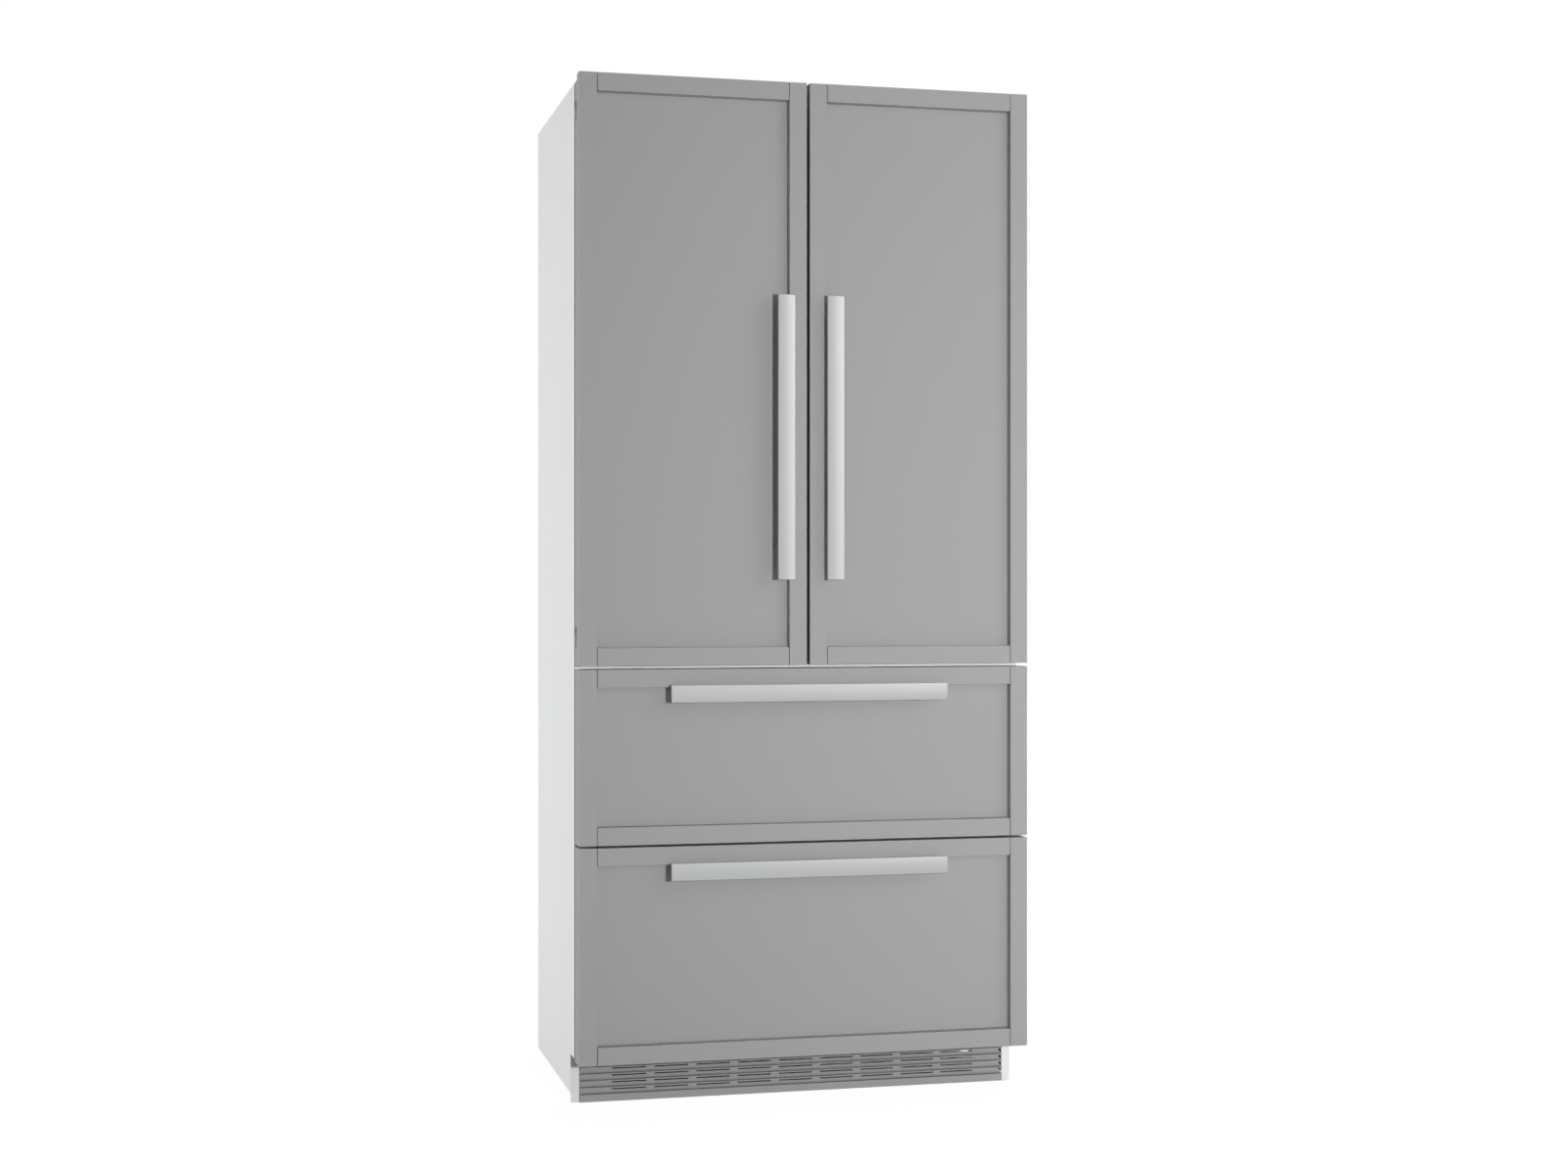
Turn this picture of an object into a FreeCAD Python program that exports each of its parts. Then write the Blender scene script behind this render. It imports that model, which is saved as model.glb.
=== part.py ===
import FreeCAD, Part
import os

from FreeCAD import Vector

# Built-in refrigerator-freezer: two doors above two drawers, millimetres, +Z up.
# X runs across the front, Y runs from the front to the back, the floor is at Z = 0.
# Depths ("d") are measured backwards from the front face of the door frames.

# ---------------------------------------------------------------- fronts
cabinet_width = 906.0
front_bottom_z = 92.5
freezer_front_height = 417.7
drawer_gap = 4.3
middle_front_height = 338.5
door_drawer_gap = 7.0
door_front_height = 1140.0
door_gap = 6.0
frame_width = 35.0
board_thickness = 28.0
recess_depth = 20.0
frame_bevel = 1.0
joint_groove = 1.0
joint_groove_depth = 6.0

# ---------------------------------------------------------------- door bodies
shell_depth = 26.0
shell_sheet = 1.2
shell_inset = 0.4
door_top_drop = 11.0
inner_plate = 2.0
gasket_depth = 7.0
gasket_band = 14.0
gasket_lap = 2.0
gasket_clearance = 0.3

# ---------------------------------------------------------------- handles
handle_length = 555.0
handle_width = 34.0
handle_thickness = 10.0
handle_crown = 1.6
handle_standout = 28.0
handle_post_r = 6.0
handle_post_spacing = 400.0
door_handle_offset = 49.5
door_handle_bottom_z = 1026.0
drawer_handle_drop = 47.0

# ---------------------------------------------------------------- cabinet
cabinet_depth = 579.0
wrap_sheet = 1.5
wrap_bottom_z = 20.0
toe_notch_top = 97.0
side_wall = 48.0
lip_width = 10.0
liner_sheet = 2.0
liner_corner_r = 12.0
rear_wall = 64.0
fridge_bottom_z = 878.0
fridge_top_z = 1941.0
middle_bottom_z = 534.0
middle_top_z = 834.0
freezer_bottom_z = 120.0
freezer_top_z = 490.0
freezer_rear_wall = 37.0
rail_depth = 24.0

# ---------------------------------------------------------------- machine space
machine_depth = 160.5
machine_top_z = 285.0
base_sheet = 1.5
centre_rib_grille_gap = 5.0
machine_floor_lap = 20.0
coil_chamber_bottom_z = 322.0
coil_chamber_rear_wall = 74.0
coil_cover_sheet = 3.0

# ---------------------------------------------------------------- hinges
hinge_inset = 13.0
hinge_depth = 41.0
knuckle_r = 8.0
hinge_pin_r = 4.0
pin_clearance = 0.05
hinge_pocket_height = 38.0
hinge_pocket_width = 24.0
cabinet_knuckle_height = 22.0
door_knuckle_height = 11.0
knuckle_gap = 0.5
hinge_arm_width = 8.0
hinge_arm_embed = 45.0
lower_hinge_z = 896.0
upper_hinge_z = 1913.0
pin_head_r = 6.5
pin_head_height = 1.5

# ---------------------------------------------------------------- centre mullion
mullion_half_width = 22.0
mullion_thickness = 14.0
mullion_axis_x = -32.0
mullion_barrel_r = 6.0
mullion_neck = 4.0
mullion_pin_r = 3.0
mullion_pin_length = 12.0
mullion_end_gap = 8.0
mullion_bracket_height = 5.0
mullion_bracket_gap = 0.4

# ---------------------------------------------------------------- door storage
dyke_thickness = 8.0
dyke_depth = 70.0
dyke_bottom_z = 1110.0
dyke_top_z = 1925.0
dyke_wall_gap = 4.0
dyke_centre_gap = 48.0
bin_depth = 94.0
bin_height = 90.0
bin_wall = 2.5
bin_side_gap = 0.4
door_bin_heights = [1125.0, 1400.0, 1675.0]

# ---------------------------------------------------------------- inside the refrigerator
duct_half_width = 150.0
duct_thickness = 20.0
outlet_rise = 100.0
outlet_pitch = 12.0
outlet_height = 5.0
outlet_width = 70.0
outlet_offset = 75.0
outlets_per_group = 3
shelf_front_d = 190.0
shelf_glass = 4.0
shelf_trim_height = 14.0
shelf_trim_depth = 10.0
shelf_side_gap = 2.0
shelf_heights = [1090.0, 1290.0, 1500.0, 1710.0]
ledge_width = 8.0
ledge_height = 6.0
crisper_front_d = 215.0
crisper_top_gap = 6.0
crisper_floor_gap = 0.3
crisper_side_gap = 14.0
crisper_centre_gap = 8.0
crisper_wall = 3.0
console_width = 240.0
console_depth = 60.0
console_height = 8.0
console_front_d = 200.0
touch_strip_width = 180.0
touch_strip_depth = 30.0
touch_strip_front_d = 135.0

# ---------------------------------------------------------------- drawers
runner_height = 46.0
runner_sheet = 1.5
runner_clearance = 0.4
runner_depth = 12.0
runner_front_d = 85.0
runner_rear_gap_middle = 30.0
runner_rear_gap_freezer = 10.0
runner_tab_width = 13.0
runner_tab_height = 18.0
runner_tab_inset = 14.0
runner_tab_end_gap = 15.0
middle_runner_z = 570.0
freezer_runner_z = 190.0
drawer_bin_wall = 2.5
drawer_bin_front_d = 62.0
middle_bin_rear_gap = 60.0
middle_bin_bottom_z = 548.0
middle_bin_top_z = 800.0
freezer_bin_rear_gap = 18.0
freezer_bin_bottom_z = 136.0
freezer_bin_top_z = 462.0
tray_height = 70.0
tray_length = 200.0
tray_front_gap = 2.0
tray_side_gap = 1.0
tray_ledge_height = 4.0
tray_ledge_width = 10.0
tray_ledge_z = 378.0
tray_seat_gap = 0.3

# ---------------------------------------------------------------- plinth
grille_side_inset = 17.5
grille_end_gap = 0.3
grille_front_d = 104.0
grille_back_d = 115.0
grille_bottom_z = 1.5
grille_top_z = 90.0
grille_band_height = 15.8
louvre_pitch = 13.4
louvre_count = 5
louvre_depth = 7.0
louvre_lip = 2.4
slot_height = 2.4
slot_width = 68.0
slot_pitch = 84.4
slot_columns = 9
end_notch_width = 8.0
end_notch_height = 9.0
plinth_bracket_front_d = 109.0
plinth_bracket_sheet = 2.0
channel_solid_length = 70.0
plinth_bracket_floor_gap = 1.0

# ---------------------------------------------------------------- feet and rollers
foot_inset = 48.0
foot_d = 141.0
foot_pad_r = 22.0
foot_pad_height = 8.0
foot_stud_r = 6.0
foot_stud_top_z = 78.0
foot_boss_bottom_z = 30.0
foot_boss_size = 36.0
roller_inset = 43.0
roller_rear_inset = 39.0
roller_r = 22.0
roller_width = 20.0
roller_axle_r = 4.0
roller_ear_thickness = 4.0
roller_ear_gap = 1.0
roller_ear_top_z = 60.0
roller_ear_bottom_z = 12.0
roller_axle_overhang = 3.0
roller_ear_half_depth = 15.0
roller_well_gap = 3.0

# ---------------------------------------------------------------- cooling machine
compressor_fan_spacing = 230.0
compressor_front_gap = 12.0
compressor_rear_gap = 12.5
compressor_body_z = 52.0
compressor_body_height = 100.0
compressor_dome = 34.0
compressor_foot_height = 14.0
compressor_plate_overhang = 32.0
compressor_plate_depth_inset = 8.0
compressor_plate_sheet = 3.0
compressor_block_r = 12.0
compressor_block_inset = 16.0
compressor_pedestal_inset = 13.6
terminal_standout = 22.0
terminal_overlap = 8.0
terminal_half_depth = 25.0
terminal_height = 50.0
terminal_rise = 30.0
condenser_roller_gap = 48.0
condenser_width = 238.0
condenser_front_gap = 18.0
condenser_rear_gap = 17.5
condenser_bottom_z = 40.0
condenser_top_z = 190.0
fin_thickness = 0.8
condenser_fins = 18
condenser_tube_rows = 4
condenser_tube_columns = 3
skid_width = 14.0
coil_tube_overhang = 12.0
coil_header_sheet = 6.0
tube_r = 4.0
fan_condenser_gap = 44.0
fan_z = 115.0
fan_front_gap = 4.0
fan_rear_gap = 4.5
fan_rim = 6.0
fan_tip_gap = 4.0
fan_hub_r = 18.0
fan_blade_count = 5
fan_shroud_depth = 24.0
fan_blade_width = 12.0
fan_shaft_r = 2.5
fan_motor_r = 20.0
fan_motor_length = 26.0
fan_spoke_width = 8.0
fan_spoke_lap = 2.0
fan_rotor_recess = 3.0
fan_motor_gap = 5.0
fan_shaft_length = 18.0
fan_shaft_bore = 16.0
fan_blade_sheet = 2.0
fan_blade_root = 3.0
fan_blade_chord = 22.8
coil_half_width = 300.0
coil_front_gap = 20.0
coil_rear_gap = 10.0
coil_height = 46.0
coil_fins = 20
coil_tube_rows = 2
coil_tube_columns = 3
cold_fan_z = 422.0
cold_fan_blade_r = 46.0
cold_fan_hub_r = 14.0
cold_fan_tip_gap = 4.0
cold_fan_front_gap = 9.0
cold_fan_shaft_length = 14.0
cold_motor_gap = 3.0
cold_motor_length = 16.0
cold_motor_r = 14.0
cold_shaft_bore_stop = 2.0
bridge_sheet = 3.0
vent_slot_width = 6.0
vent_slot_height = 120.0
vent_slot_pitch = 14.0
vent_slot_count = 16
cord_gland_r = 11.0
cord_gland_length = 12.0

# ---------------------------------------------------------------- roof brackets
roof_bracket_inset = 153.0
roof_bracket_front_d = 75.0
roof_bracket_length = 70.0
roof_bracket_width = 40.0
roof_bracket_sheet = 3.0
roof_bracket_hole_r = 2.75
roof_bracket_hole_spacing = 50.0

# ================================================================ worked-out sizes
half_width = cabinet_width / 2
front_y = (handle_standout - cabinet_depth) / 2
freezer_front_top_z = front_bottom_z + freezer_front_height
middle_front_bottom_z = freezer_front_top_z + drawer_gap
middle_front_top_z = middle_front_bottom_z + middle_front_height
door_front_bottom_z = middle_front_top_z + door_drawer_gap
overall_height = door_front_bottom_z + door_front_height
cabinet_top_z = overall_height - door_top_drop
shell_rear_d = board_thickness + shell_depth
gasket_rear_d = shell_rear_d + gasket_depth
cabinet_front_d = gasket_rear_d + gasket_clearance
liner_half = half_width - side_wall
flange_half = liner_half + lip_width
wrap_inside = half_width - wrap_sheet
back_front_d = cabinet_depth - wrap_sheet
machine_front_d = back_front_d - machine_depth
freezer_depth = machine_front_d - freezer_rear_wall
coil_chamber_rear_d = cabinet_depth - coil_chamber_rear_wall
coil_front_d = freezer_depth + coil_front_gap
coil_rear_d = coil_chamber_rear_d - coil_rear_gap
cold_fan_start_d = freezer_depth + cold_fan_front_gap
freezer_bin_rear_d = freezer_depth - freezer_bin_rear_gap
runner_length_freezer = freezer_depth - runner_rear_gap_freezer - runner_front_d
roller_d = cabinet_depth - roller_rear_inset
fridge_rear_d = cabinet_depth - rear_wall
middle_bin_rear_d = fridge_rear_d - middle_bin_rear_gap
runner_length_middle = fridge_rear_d - runner_rear_gap_middle - runner_front_d
roof_underside_z = cabinet_top_z - wrap_sheet
base_pan_top_z = toe_notch_top + base_sheet
hinge_x = half_width - hinge_inset
mullion_axis_d = cabinet_front_d + mullion_thickness / 2
base_channel_width = grille_side_inset - wrap_sheet - grille_end_gap
toe_notch_depth = plinth_bracket_front_d + plinth_bracket_sheet
foot_x = half_width - foot_inset
roller_x = half_width - roller_inset
roof_bracket_x = half_width - roof_bracket_inset
condenser_x0 = condenser_roller_gap - roller_x
condenser_x1 = condenser_x0 + condenser_width
condenser_front_d = machine_front_d + condenser_front_gap
condenser_rear_d = back_front_d - condenser_rear_gap
fan_shroud_size = machine_depth - fan_front_gap - fan_rear_gap
fan_blade_r = fan_shroud_size / 2 - fan_rim - fan_tip_gap
fan_x = condenser_x1 + fan_condenser_gap
fan_d = machine_front_d + fan_front_gap + fan_shroud_size / 2
compressor_r = (machine_depth - compressor_front_gap - compressor_rear_gap) / 2
compressor_x = fan_x + compressor_fan_spacing
compressor_d = machine_front_d + compressor_front_gap + compressor_r


def y_at(depth):
    """Y of a point that lies this deep behind the front face of the frames."""
    return front_y + depth


def block(x0, x1, d0, d1, z0, z1):
    """Box between two X, two depths and two heights."""
    return Part.makeBox(x1 - x0, d1 - d0, z1 - z0, Vector(x0, y_at(d0), z0))


def rod_x(r, x0, x1, depth, z):
    """Round bar along X."""
    return Part.makeCylinder(r, x1 - x0, Vector(x0, y_at(depth), z), Vector(1, 0, 0))


def rod_y(r, x, d0, d1, z):
    """Round bar along Y."""
    return Part.makeCylinder(r, d1 - d0, Vector(x, y_at(d0), z), Vector(0, 1, 0))


def rod_z(r, x, depth, z0, z1):
    """Round bar along Z."""
    return Part.makeCylinder(r, z1 - z0, Vector(x, y_at(depth), z0))


def mirror_x(shape):
    """Copy on the other side of the centre plane."""
    return shape.mirror(Vector(0, 0, 0), Vector(1, 0, 0))


def both_sides(shapes):
    """The given shapes and their mirror images."""
    return shapes + [mirror_x(shape) for shape in shapes]


def save(name, shapes):
    """Write one node, a single solid or a group of separate solids."""
    solids = [solid for shape in shapes for solid in shape.Solids]
    for solid in solids:
        if not solid.isValid():
            print("invalid solid in", name)
    body = solids[0] if len(solids) == 1 else Part.makeCompound(solids)
    body.exportStep("parts/" + name + ".step")
    print(name, len(solids), round(sum(solid.Volume for solid in solids) / 1000.0, 1))


def soften_front(shape, depth, size):
    """Chamfer the edges that lie in the plane at this depth."""
    y = y_at(depth)
    edges = [e for e in shape.Edges if all(abs(v.Point.y - y) < 1e-6 for v in e.Vertexes)]
    return shape.makeChamfer(size, edges)


def round_along_y(shape, radius):
    """Round the four edges of a box that run along Y."""
    edges = [
        e for e in shape.Edges
        if abs(e.Vertexes[0].Point.x - e.Vertexes[1].Point.x) < 1e-6
        and abs(e.Vertexes[0].Point.z - e.Vertexes[1].Point.z) < 1e-6
    ]
    return shape.makeFillet(radius, edges)


def open_box(x0, x1, d0, d1, z0, z1, wall):
    """Tub that is open at the top."""
    outside = block(x0, x1, d0, d1, z0, z1)
    return outside.cut(block(x0 + wall, x1 - wall, d0 + wall, d1 - wall, z0 + wall, z1 + wall))


# ================================================================ fronts
def framed_front(x0, x1, z0, z1):
    """Two stiles, two rails with a shadow groove at each joint, and a set-back centre panel."""
    inner_x0 = x0 + frame_width
    inner_x1 = x1 - frame_width
    pieces = []
    for stile_x0, stile_x1 in ((x0, inner_x0), (inner_x1, x1)):
        stile = block(stile_x0, stile_x1, 0, board_thickness, z0, z1)
        pieces.append(soften_front(stile, 0, frame_bevel))
    for rail_z0, rail_z1 in ((z0, z0 + frame_width), (z1 - frame_width, z1)):
        rail = block(inner_x0, inner_x1, 0, board_thickness, rail_z0, rail_z1)
        for end_x in (inner_x0, inner_x1 - joint_groove):
            groove = block(end_x, end_x + joint_groove, 0, joint_groove_depth, rail_z0, rail_z1)
            rail = rail.cut(groove)
        pieces.append(soften_front(rail, 0, frame_bevel / 2))
    centre = block(inner_x0, inner_x1, recess_depth, board_thickness, z0 + frame_width, z1 - frame_width)
    pieces.append(centre)
    return pieces


def handle_bar_section(along_x):
    """Outline of the handle bar across its length, crowned towards the front."""
    half = handle_width / 2
    back_y = y_at(handle_thickness - handle_standout)
    edge_y = y_at(handle_crown - handle_standout)
    crown_y = y_at(-handle_standout)

    def at(side, y):
        return Vector(0, y, side) if along_x else Vector(side, y, 0)

    edges = [
        Part.LineSegment(at(-half, edge_y), at(-half, back_y)).toShape(),
        Part.LineSegment(at(-half, back_y), at(half, back_y)).toShape(),
        Part.LineSegment(at(half, back_y), at(half, edge_y)).toShape(),
        Part.Arc(at(half, edge_y), at(0, crown_y), at(-half, edge_y)).toShape(),
    ]
    return Part.Face(Part.Wire(edges))


def upright_handle(x, z0):
    """Bar along Z on two posts that stand on the centre panel."""
    bar = handle_bar_section(False).extrude(Vector(0, 0, handle_length))
    bar.translate(Vector(x, 0, z0))
    middle = z0 + handle_length / 2
    back_d = handle_thickness - handle_standout
    posts = [
        rod_y(handle_post_r, x, back_d, recess_depth, middle + side * handle_post_spacing / 2)
        for side in (-1, 1)
    ]
    return [bar] + posts


def level_handle(z):
    """Bar along X on two posts that stand on the centre panel."""
    bar = handle_bar_section(True).extrude(Vector(handle_length, 0, 0))
    bar.translate(Vector(-handle_length / 2, 0, z))
    back_d = handle_thickness - handle_standout
    posts = [
        rod_y(handle_post_r, side * handle_post_spacing / 2, back_d, recess_depth, z)
        for side in (-1, 1)
    ]
    return [bar] + posts


def gasket_ring(x0, x1, z0, z1):
    """Magnetic seal, drawn round the outside of the opening that it closes."""
    band = gasket_band
    outside = block(x0 - band, x1 + band, shell_rear_d, gasket_rear_d, z0 - band, z1 + band)
    return outside.cut(block(x0, x1, shell_rear_d, gasket_rear_d, z0, z1))


def steel_pan(x0, x1, z0, z1):
    """Folded sheet body behind a front, open at the back."""
    outside = block(x0, x1, board_thickness, shell_rear_d, z0, z1)
    t = shell_sheet
    return outside.cut(block(x0 + t, x1 - t, board_thickness + t, shell_rear_d, z0 + t, z1 - t))


def pan_filling(x0, x1, z0, z1):
    """Foam core and inner plate of a door or drawer, two solids inside the pan."""
    t = shell_sheet
    plate_d = shell_rear_d - inner_plate
    foam = block(x0 + t, x1 - t, board_thickness + t, plate_d, z0 + t, z1 - t)
    plate = block(x0 + t, x1 - t, plate_d, shell_rear_d, z0 + t, z1 - t)
    return foam, plate


# ================================================================ hinges
def hinge_pocket(z):
    """Space in the outer edge of the left door round one hinge."""
    x0 = -half_width - 1
    return block(x0, -half_width + hinge_pocket_width, board_thickness, shell_rear_d + 1, z,
                 z + hinge_pocket_height)


def cabinet_knuckle_bottom(z):
    play = hinge_pocket_height - cabinet_knuckle_height - knuckle_gap - door_knuckle_height
    return z + play / 2


def cabinet_hinge(z):
    """Knuckle on an arm that runs back into the side wall of the cabinet."""
    z0 = cabinet_knuckle_bottom(z)
    z1 = z0 + cabinet_knuckle_height
    half_arm = hinge_arm_width / 2
    arm_rear = cabinet_front_d + hinge_arm_embed
    arm = block(-hinge_x - half_arm, -hinge_x + half_arm, hinge_depth, arm_rear, z0, z1)
    knuckle = rod_z(knuckle_r, -hinge_x, hinge_depth, z0, z1)
    bore = rod_z(hinge_pin_r + pin_clearance, -hinge_x, hinge_depth, z0 - 1, z1 + 1)
    return arm.fuse(knuckle).cut(bore).removeSplitter()


def door_hinge(z):
    """Shorter knuckle above, carried by the door."""
    z0 = cabinet_knuckle_bottom(z) + cabinet_knuckle_height + knuckle_gap
    z1 = z0 + door_knuckle_height
    half_arm = hinge_arm_width / 2
    leaf = block(-hinge_x, -half_width + hinge_pocket_width, hinge_depth - half_arm,
                 hinge_depth + half_arm, z0, z1)
    knuckle = rod_z(knuckle_r, -hinge_x, hinge_depth, z0, z1)
    bore = rod_z(hinge_pin_r + pin_clearance, -hinge_x, hinge_depth, z0 - 1, z1 + 1)
    return leaf.fuse(knuckle).cut(bore).removeSplitter()


def hinge_pin(z):
    """Headed pin pushed up through both knuckles."""
    z0 = cabinet_knuckle_bottom(z)
    z1 = z0 + cabinet_knuckle_height + knuckle_gap + door_knuckle_height
    head = rod_z(pin_head_r, -hinge_x, hinge_depth, z0 - pin_head_height, z0)
    return head.fuse(rod_z(hinge_pin_r, -hinge_x, hinge_depth, z0, z1)).removeSplitter()


hinge_heights = [lower_hinge_z, upper_hinge_z]


# ================================================================ doors (left one, then mirrored)
door_x0 = -half_width
door_x1 = -door_gap / 2
dyke_outer_x = -liner_half + dyke_wall_gap
dyke_inner_x = -dyke_centre_gap


def door_front():
    return framed_front(door_x0, door_x1, door_front_bottom_z, overall_height)


def door_shell():
    pan = steel_pan(door_x0 + shell_inset, door_x1 - shell_inset, door_front_bottom_z, cabinet_top_z)
    for z in hinge_heights:
        pan = pan.cut(hinge_pocket(z))
    return [pan] + [door_hinge(z) for z in hinge_heights]


def mullion_bracket(z0, z1, pin_z0, pin_z1):
    """Lug behind the door edge with the pin that the mullion turns on."""
    lug = block(mullion_axis_x - mullion_barrel_r * 2, mullion_axis_x + mullion_barrel_r, shell_rear_d,
                mullion_axis_d + mullion_barrel_r, z0, z1)
    return lug.fuse(rod_z(mullion_pin_r, mullion_axis_x, mullion_axis_d, pin_z0, pin_z1)).removeSplitter()


mullion_z0 = fridge_bottom_z + mullion_end_gap
mullion_z1 = fridge_top_z - mullion_end_gap


def mullion_brackets():
    lower_z1 = mullion_z0 - mullion_bracket_gap
    upper_z0 = mullion_z1 + mullion_bracket_gap
    return [
        mullion_bracket(lower_z1 - mullion_bracket_height, lower_z1, lower_z1,
                        mullion_z0 + mullion_pin_length),
        mullion_bracket(upper_z0, upper_z0 + mullion_bracket_height, mullion_z1 - mullion_pin_length,
                        upper_z0),
    ]


def door_liner():
    foam, plate = pan_filling(door_x0 + shell_inset, door_x1 - shell_inset, door_front_bottom_z,
                              cabinet_top_z)
    for z in hinge_heights:
        foam = foam.cut(hinge_pocket(z))
        plate = plate.cut(hinge_pocket(z))
    for x0 in (dyke_outer_x, dyke_inner_x - dyke_thickness):
        rib = block(x0, x0 + dyke_thickness, shell_rear_d, shell_rear_d + dyke_depth, dyke_bottom_z,
                    dyke_top_z)
        plate = plate.fuse(rib)
    return [foam, plate.removeSplitter()]


def door_gasket():
    x1 = door_x1 - gasket_lap - gasket_band
    return [gasket_ring(-liner_half - gasket_lap, x1, fridge_bottom_z - gasket_lap,
                        fridge_top_z + gasket_lap)]


def door_handle():
    x = -door_handle_offset
    return upright_handle(x, door_handle_bottom_z)


def door_bins():
    x0 = dyke_outer_x + dyke_thickness + bin_side_gap
    x1 = dyke_inner_x - dyke_thickness - bin_side_gap
    return [
        open_box(x0, x1, shell_rear_d + bin_side_gap, shell_rear_d + bin_depth, z, z + bin_height, bin_wall)
        for z in door_bin_heights
    ]


def mullion_flap():
    """Centre sealing bar, drawn folded back behind the left door's edge."""
    reach = mullion_half_width - mullion_axis_x
    arm_start = mullion_axis_d
    half = mullion_thickness / 2
    bar = block(mullion_axis_x - half, mullion_axis_x + half, arm_start + mullion_neck, arm_start + reach, mullion_z0,
                mullion_z1)
    barrel = rod_z(mullion_barrel_r, mullion_axis_x, mullion_axis_d, mullion_z0, mullion_z1)
    flap = bar.fuse(barrel)
    bore_r = mullion_pin_r + pin_clearance
    bore_length = mullion_pin_length + mullion_bracket_gap
    for z0, z1 in ((mullion_z0, mullion_z0 + bore_length), (mullion_z1 - bore_length, mullion_z1)):
        flap = flap.cut(rod_z(bore_r, mullion_axis_x, mullion_axis_d, z0, z1))
    return [flap.removeSplitter()]


# ================================================================ cabinet
def liner_cavity(z0, z1, rear_d, grow):
    """Inside volume of a compartment, grown by a wall."""
    outside = block(-liner_half - grow, liner_half + grow, cabinet_front_d, rear_d + grow, z0 - grow,
                    z1 + grow)
    return round_along_y(outside, liner_corner_r + grow)


def coil_chamber(grow):
    """Space above the machine compartment that holds the cooling coil."""
    return block(-liner_half - grow, liner_half + grow, freezer_depth - 1, coil_chamber_rear_d + grow,
                 coil_chamber_bottom_z - grow, freezer_top_z - liner_corner_r + grow)


def freezer_cavity(grow):
    lower = liner_cavity(freezer_bottom_z, freezer_top_z, freezer_depth, grow)
    return lower.fuse(coil_chamber(grow))


def liner_lip(z0, z1):
    return block(-flange_half, flange_half, cabinet_front_d, cabinet_front_d + liner_sheet, z0 - lip_width,
                 z1 + lip_width)


def box_liner(z0, z1, rear_d):
    hull = liner_cavity(z0, z1, rear_d, liner_sheet).fuse(liner_lip(z0, z1))
    return hull.cut(liner_cavity(z0, z1, rear_d, 0))


def fridge_liner():
    liner = box_liner(fridge_bottom_z, fridge_top_z, fridge_rear_d)
    ledge_rear = fridge_rear_d - duct_thickness
    for z in shelf_heights:
        for x0 in (-liner_half, liner_half - ledge_width):
            ledge = block(x0, x0 + ledge_width, shelf_front_d, ledge_rear, z - ledge_height, z)
            liner = liner.fuse(ledge)
    return [liner.removeSplitter()]


def drawer_liner():
    return [box_liner(middle_bottom_z, middle_top_z, fridge_rear_d)]


def freezer_liner():
    hull = freezer_cavity(liner_sheet).fuse(liner_lip(freezer_bottom_z, freezer_top_z))
    return [hull.cut(freezer_cavity(0)).removeSplitter()]


def wrap_side():
    """Left side sheet with its front return and the cut-out for the toe space."""
    sheet = block(-half_width, -wrap_inside, cabinet_front_d, cabinet_depth, wrap_bottom_z, cabinet_top_z)
    notch = block(-half_width - 1, -wrap_inside + 1, cabinet_front_d - 1, toe_notch_depth, wrap_bottom_z - 1,
                  toe_notch_top)
    flange = block(-half_width, -flange_half, cabinet_front_d, cabinet_front_d + wrap_sheet, toe_notch_top,
                   cabinet_top_z)
    return sheet.cut(notch).fuse(flange)


def hinge_arm_slot(z):
    z0 = cabinet_knuckle_bottom(z)
    half_arm = hinge_arm_width / 2
    return block(-hinge_x - half_arm, -hinge_x + half_arm, cabinet_front_d, cabinet_front_d + hinge_arm_embed,
                 z0, z0 + cabinet_knuckle_height)


def outer_wrap():
    """Both sides, the roof and the front return in one folded sheet."""
    roof = block(-half_width, half_width, cabinet_front_d, cabinet_depth, roof_underside_z, cabinet_top_z)
    top_return = block(-half_width, half_width, cabinet_front_d, cabinet_front_d + wrap_sheet,
                       fridge_top_z + lip_width, cabinet_top_z)
    side = wrap_side()
    for z in hinge_heights:
        side = side.cut(hinge_arm_slot(z))
    return [roof.fuse([top_return, side, mirror_x(side)]).removeSplitter()]


def cross_rails():
    """Steel bars across the front between and below the compartments."""
    spans = [
        (middle_top_z + lip_width, fridge_bottom_z - lip_width),
        (freezer_top_z + lip_width, middle_bottom_z - lip_width),
        (base_pan_top_z, freezer_bottom_z - lip_width),
    ]
    return [
        block(-flange_half, flange_half, cabinet_front_d, cabinet_front_d + rail_depth, z0, z1)
        for z0, z1 in spans
    ]


def cabinet_foam():
    """Insulation that fills the space between the wrap and the liners."""
    front_d = cabinet_front_d + liner_sheet
    foam = block(-wrap_inside, wrap_inside, front_d, back_front_d, base_pan_top_z, roof_underside_z)
    hollows = [
        liner_cavity(fridge_bottom_z, fridge_top_z, fridge_rear_d, liner_sheet),
        liner_cavity(middle_bottom_z, middle_top_z, fridge_rear_d, liner_sheet),
        freezer_cavity(liner_sheet),
        block(-wrap_inside, wrap_inside, machine_front_d - base_sheet, back_front_d, base_pan_top_z,
              machine_top_z + base_sheet),
    ]
    hollows += cross_rails()
    for z in hinge_heights:
        hollows += both_sides([hinge_arm_slot(z)])
    return [foam.cut(hollows)]


def back_panel():
    return [block(-wrap_inside, wrap_inside, back_front_d, cabinet_depth, machine_top_z + base_sheet,
                  roof_underside_z)]


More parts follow.
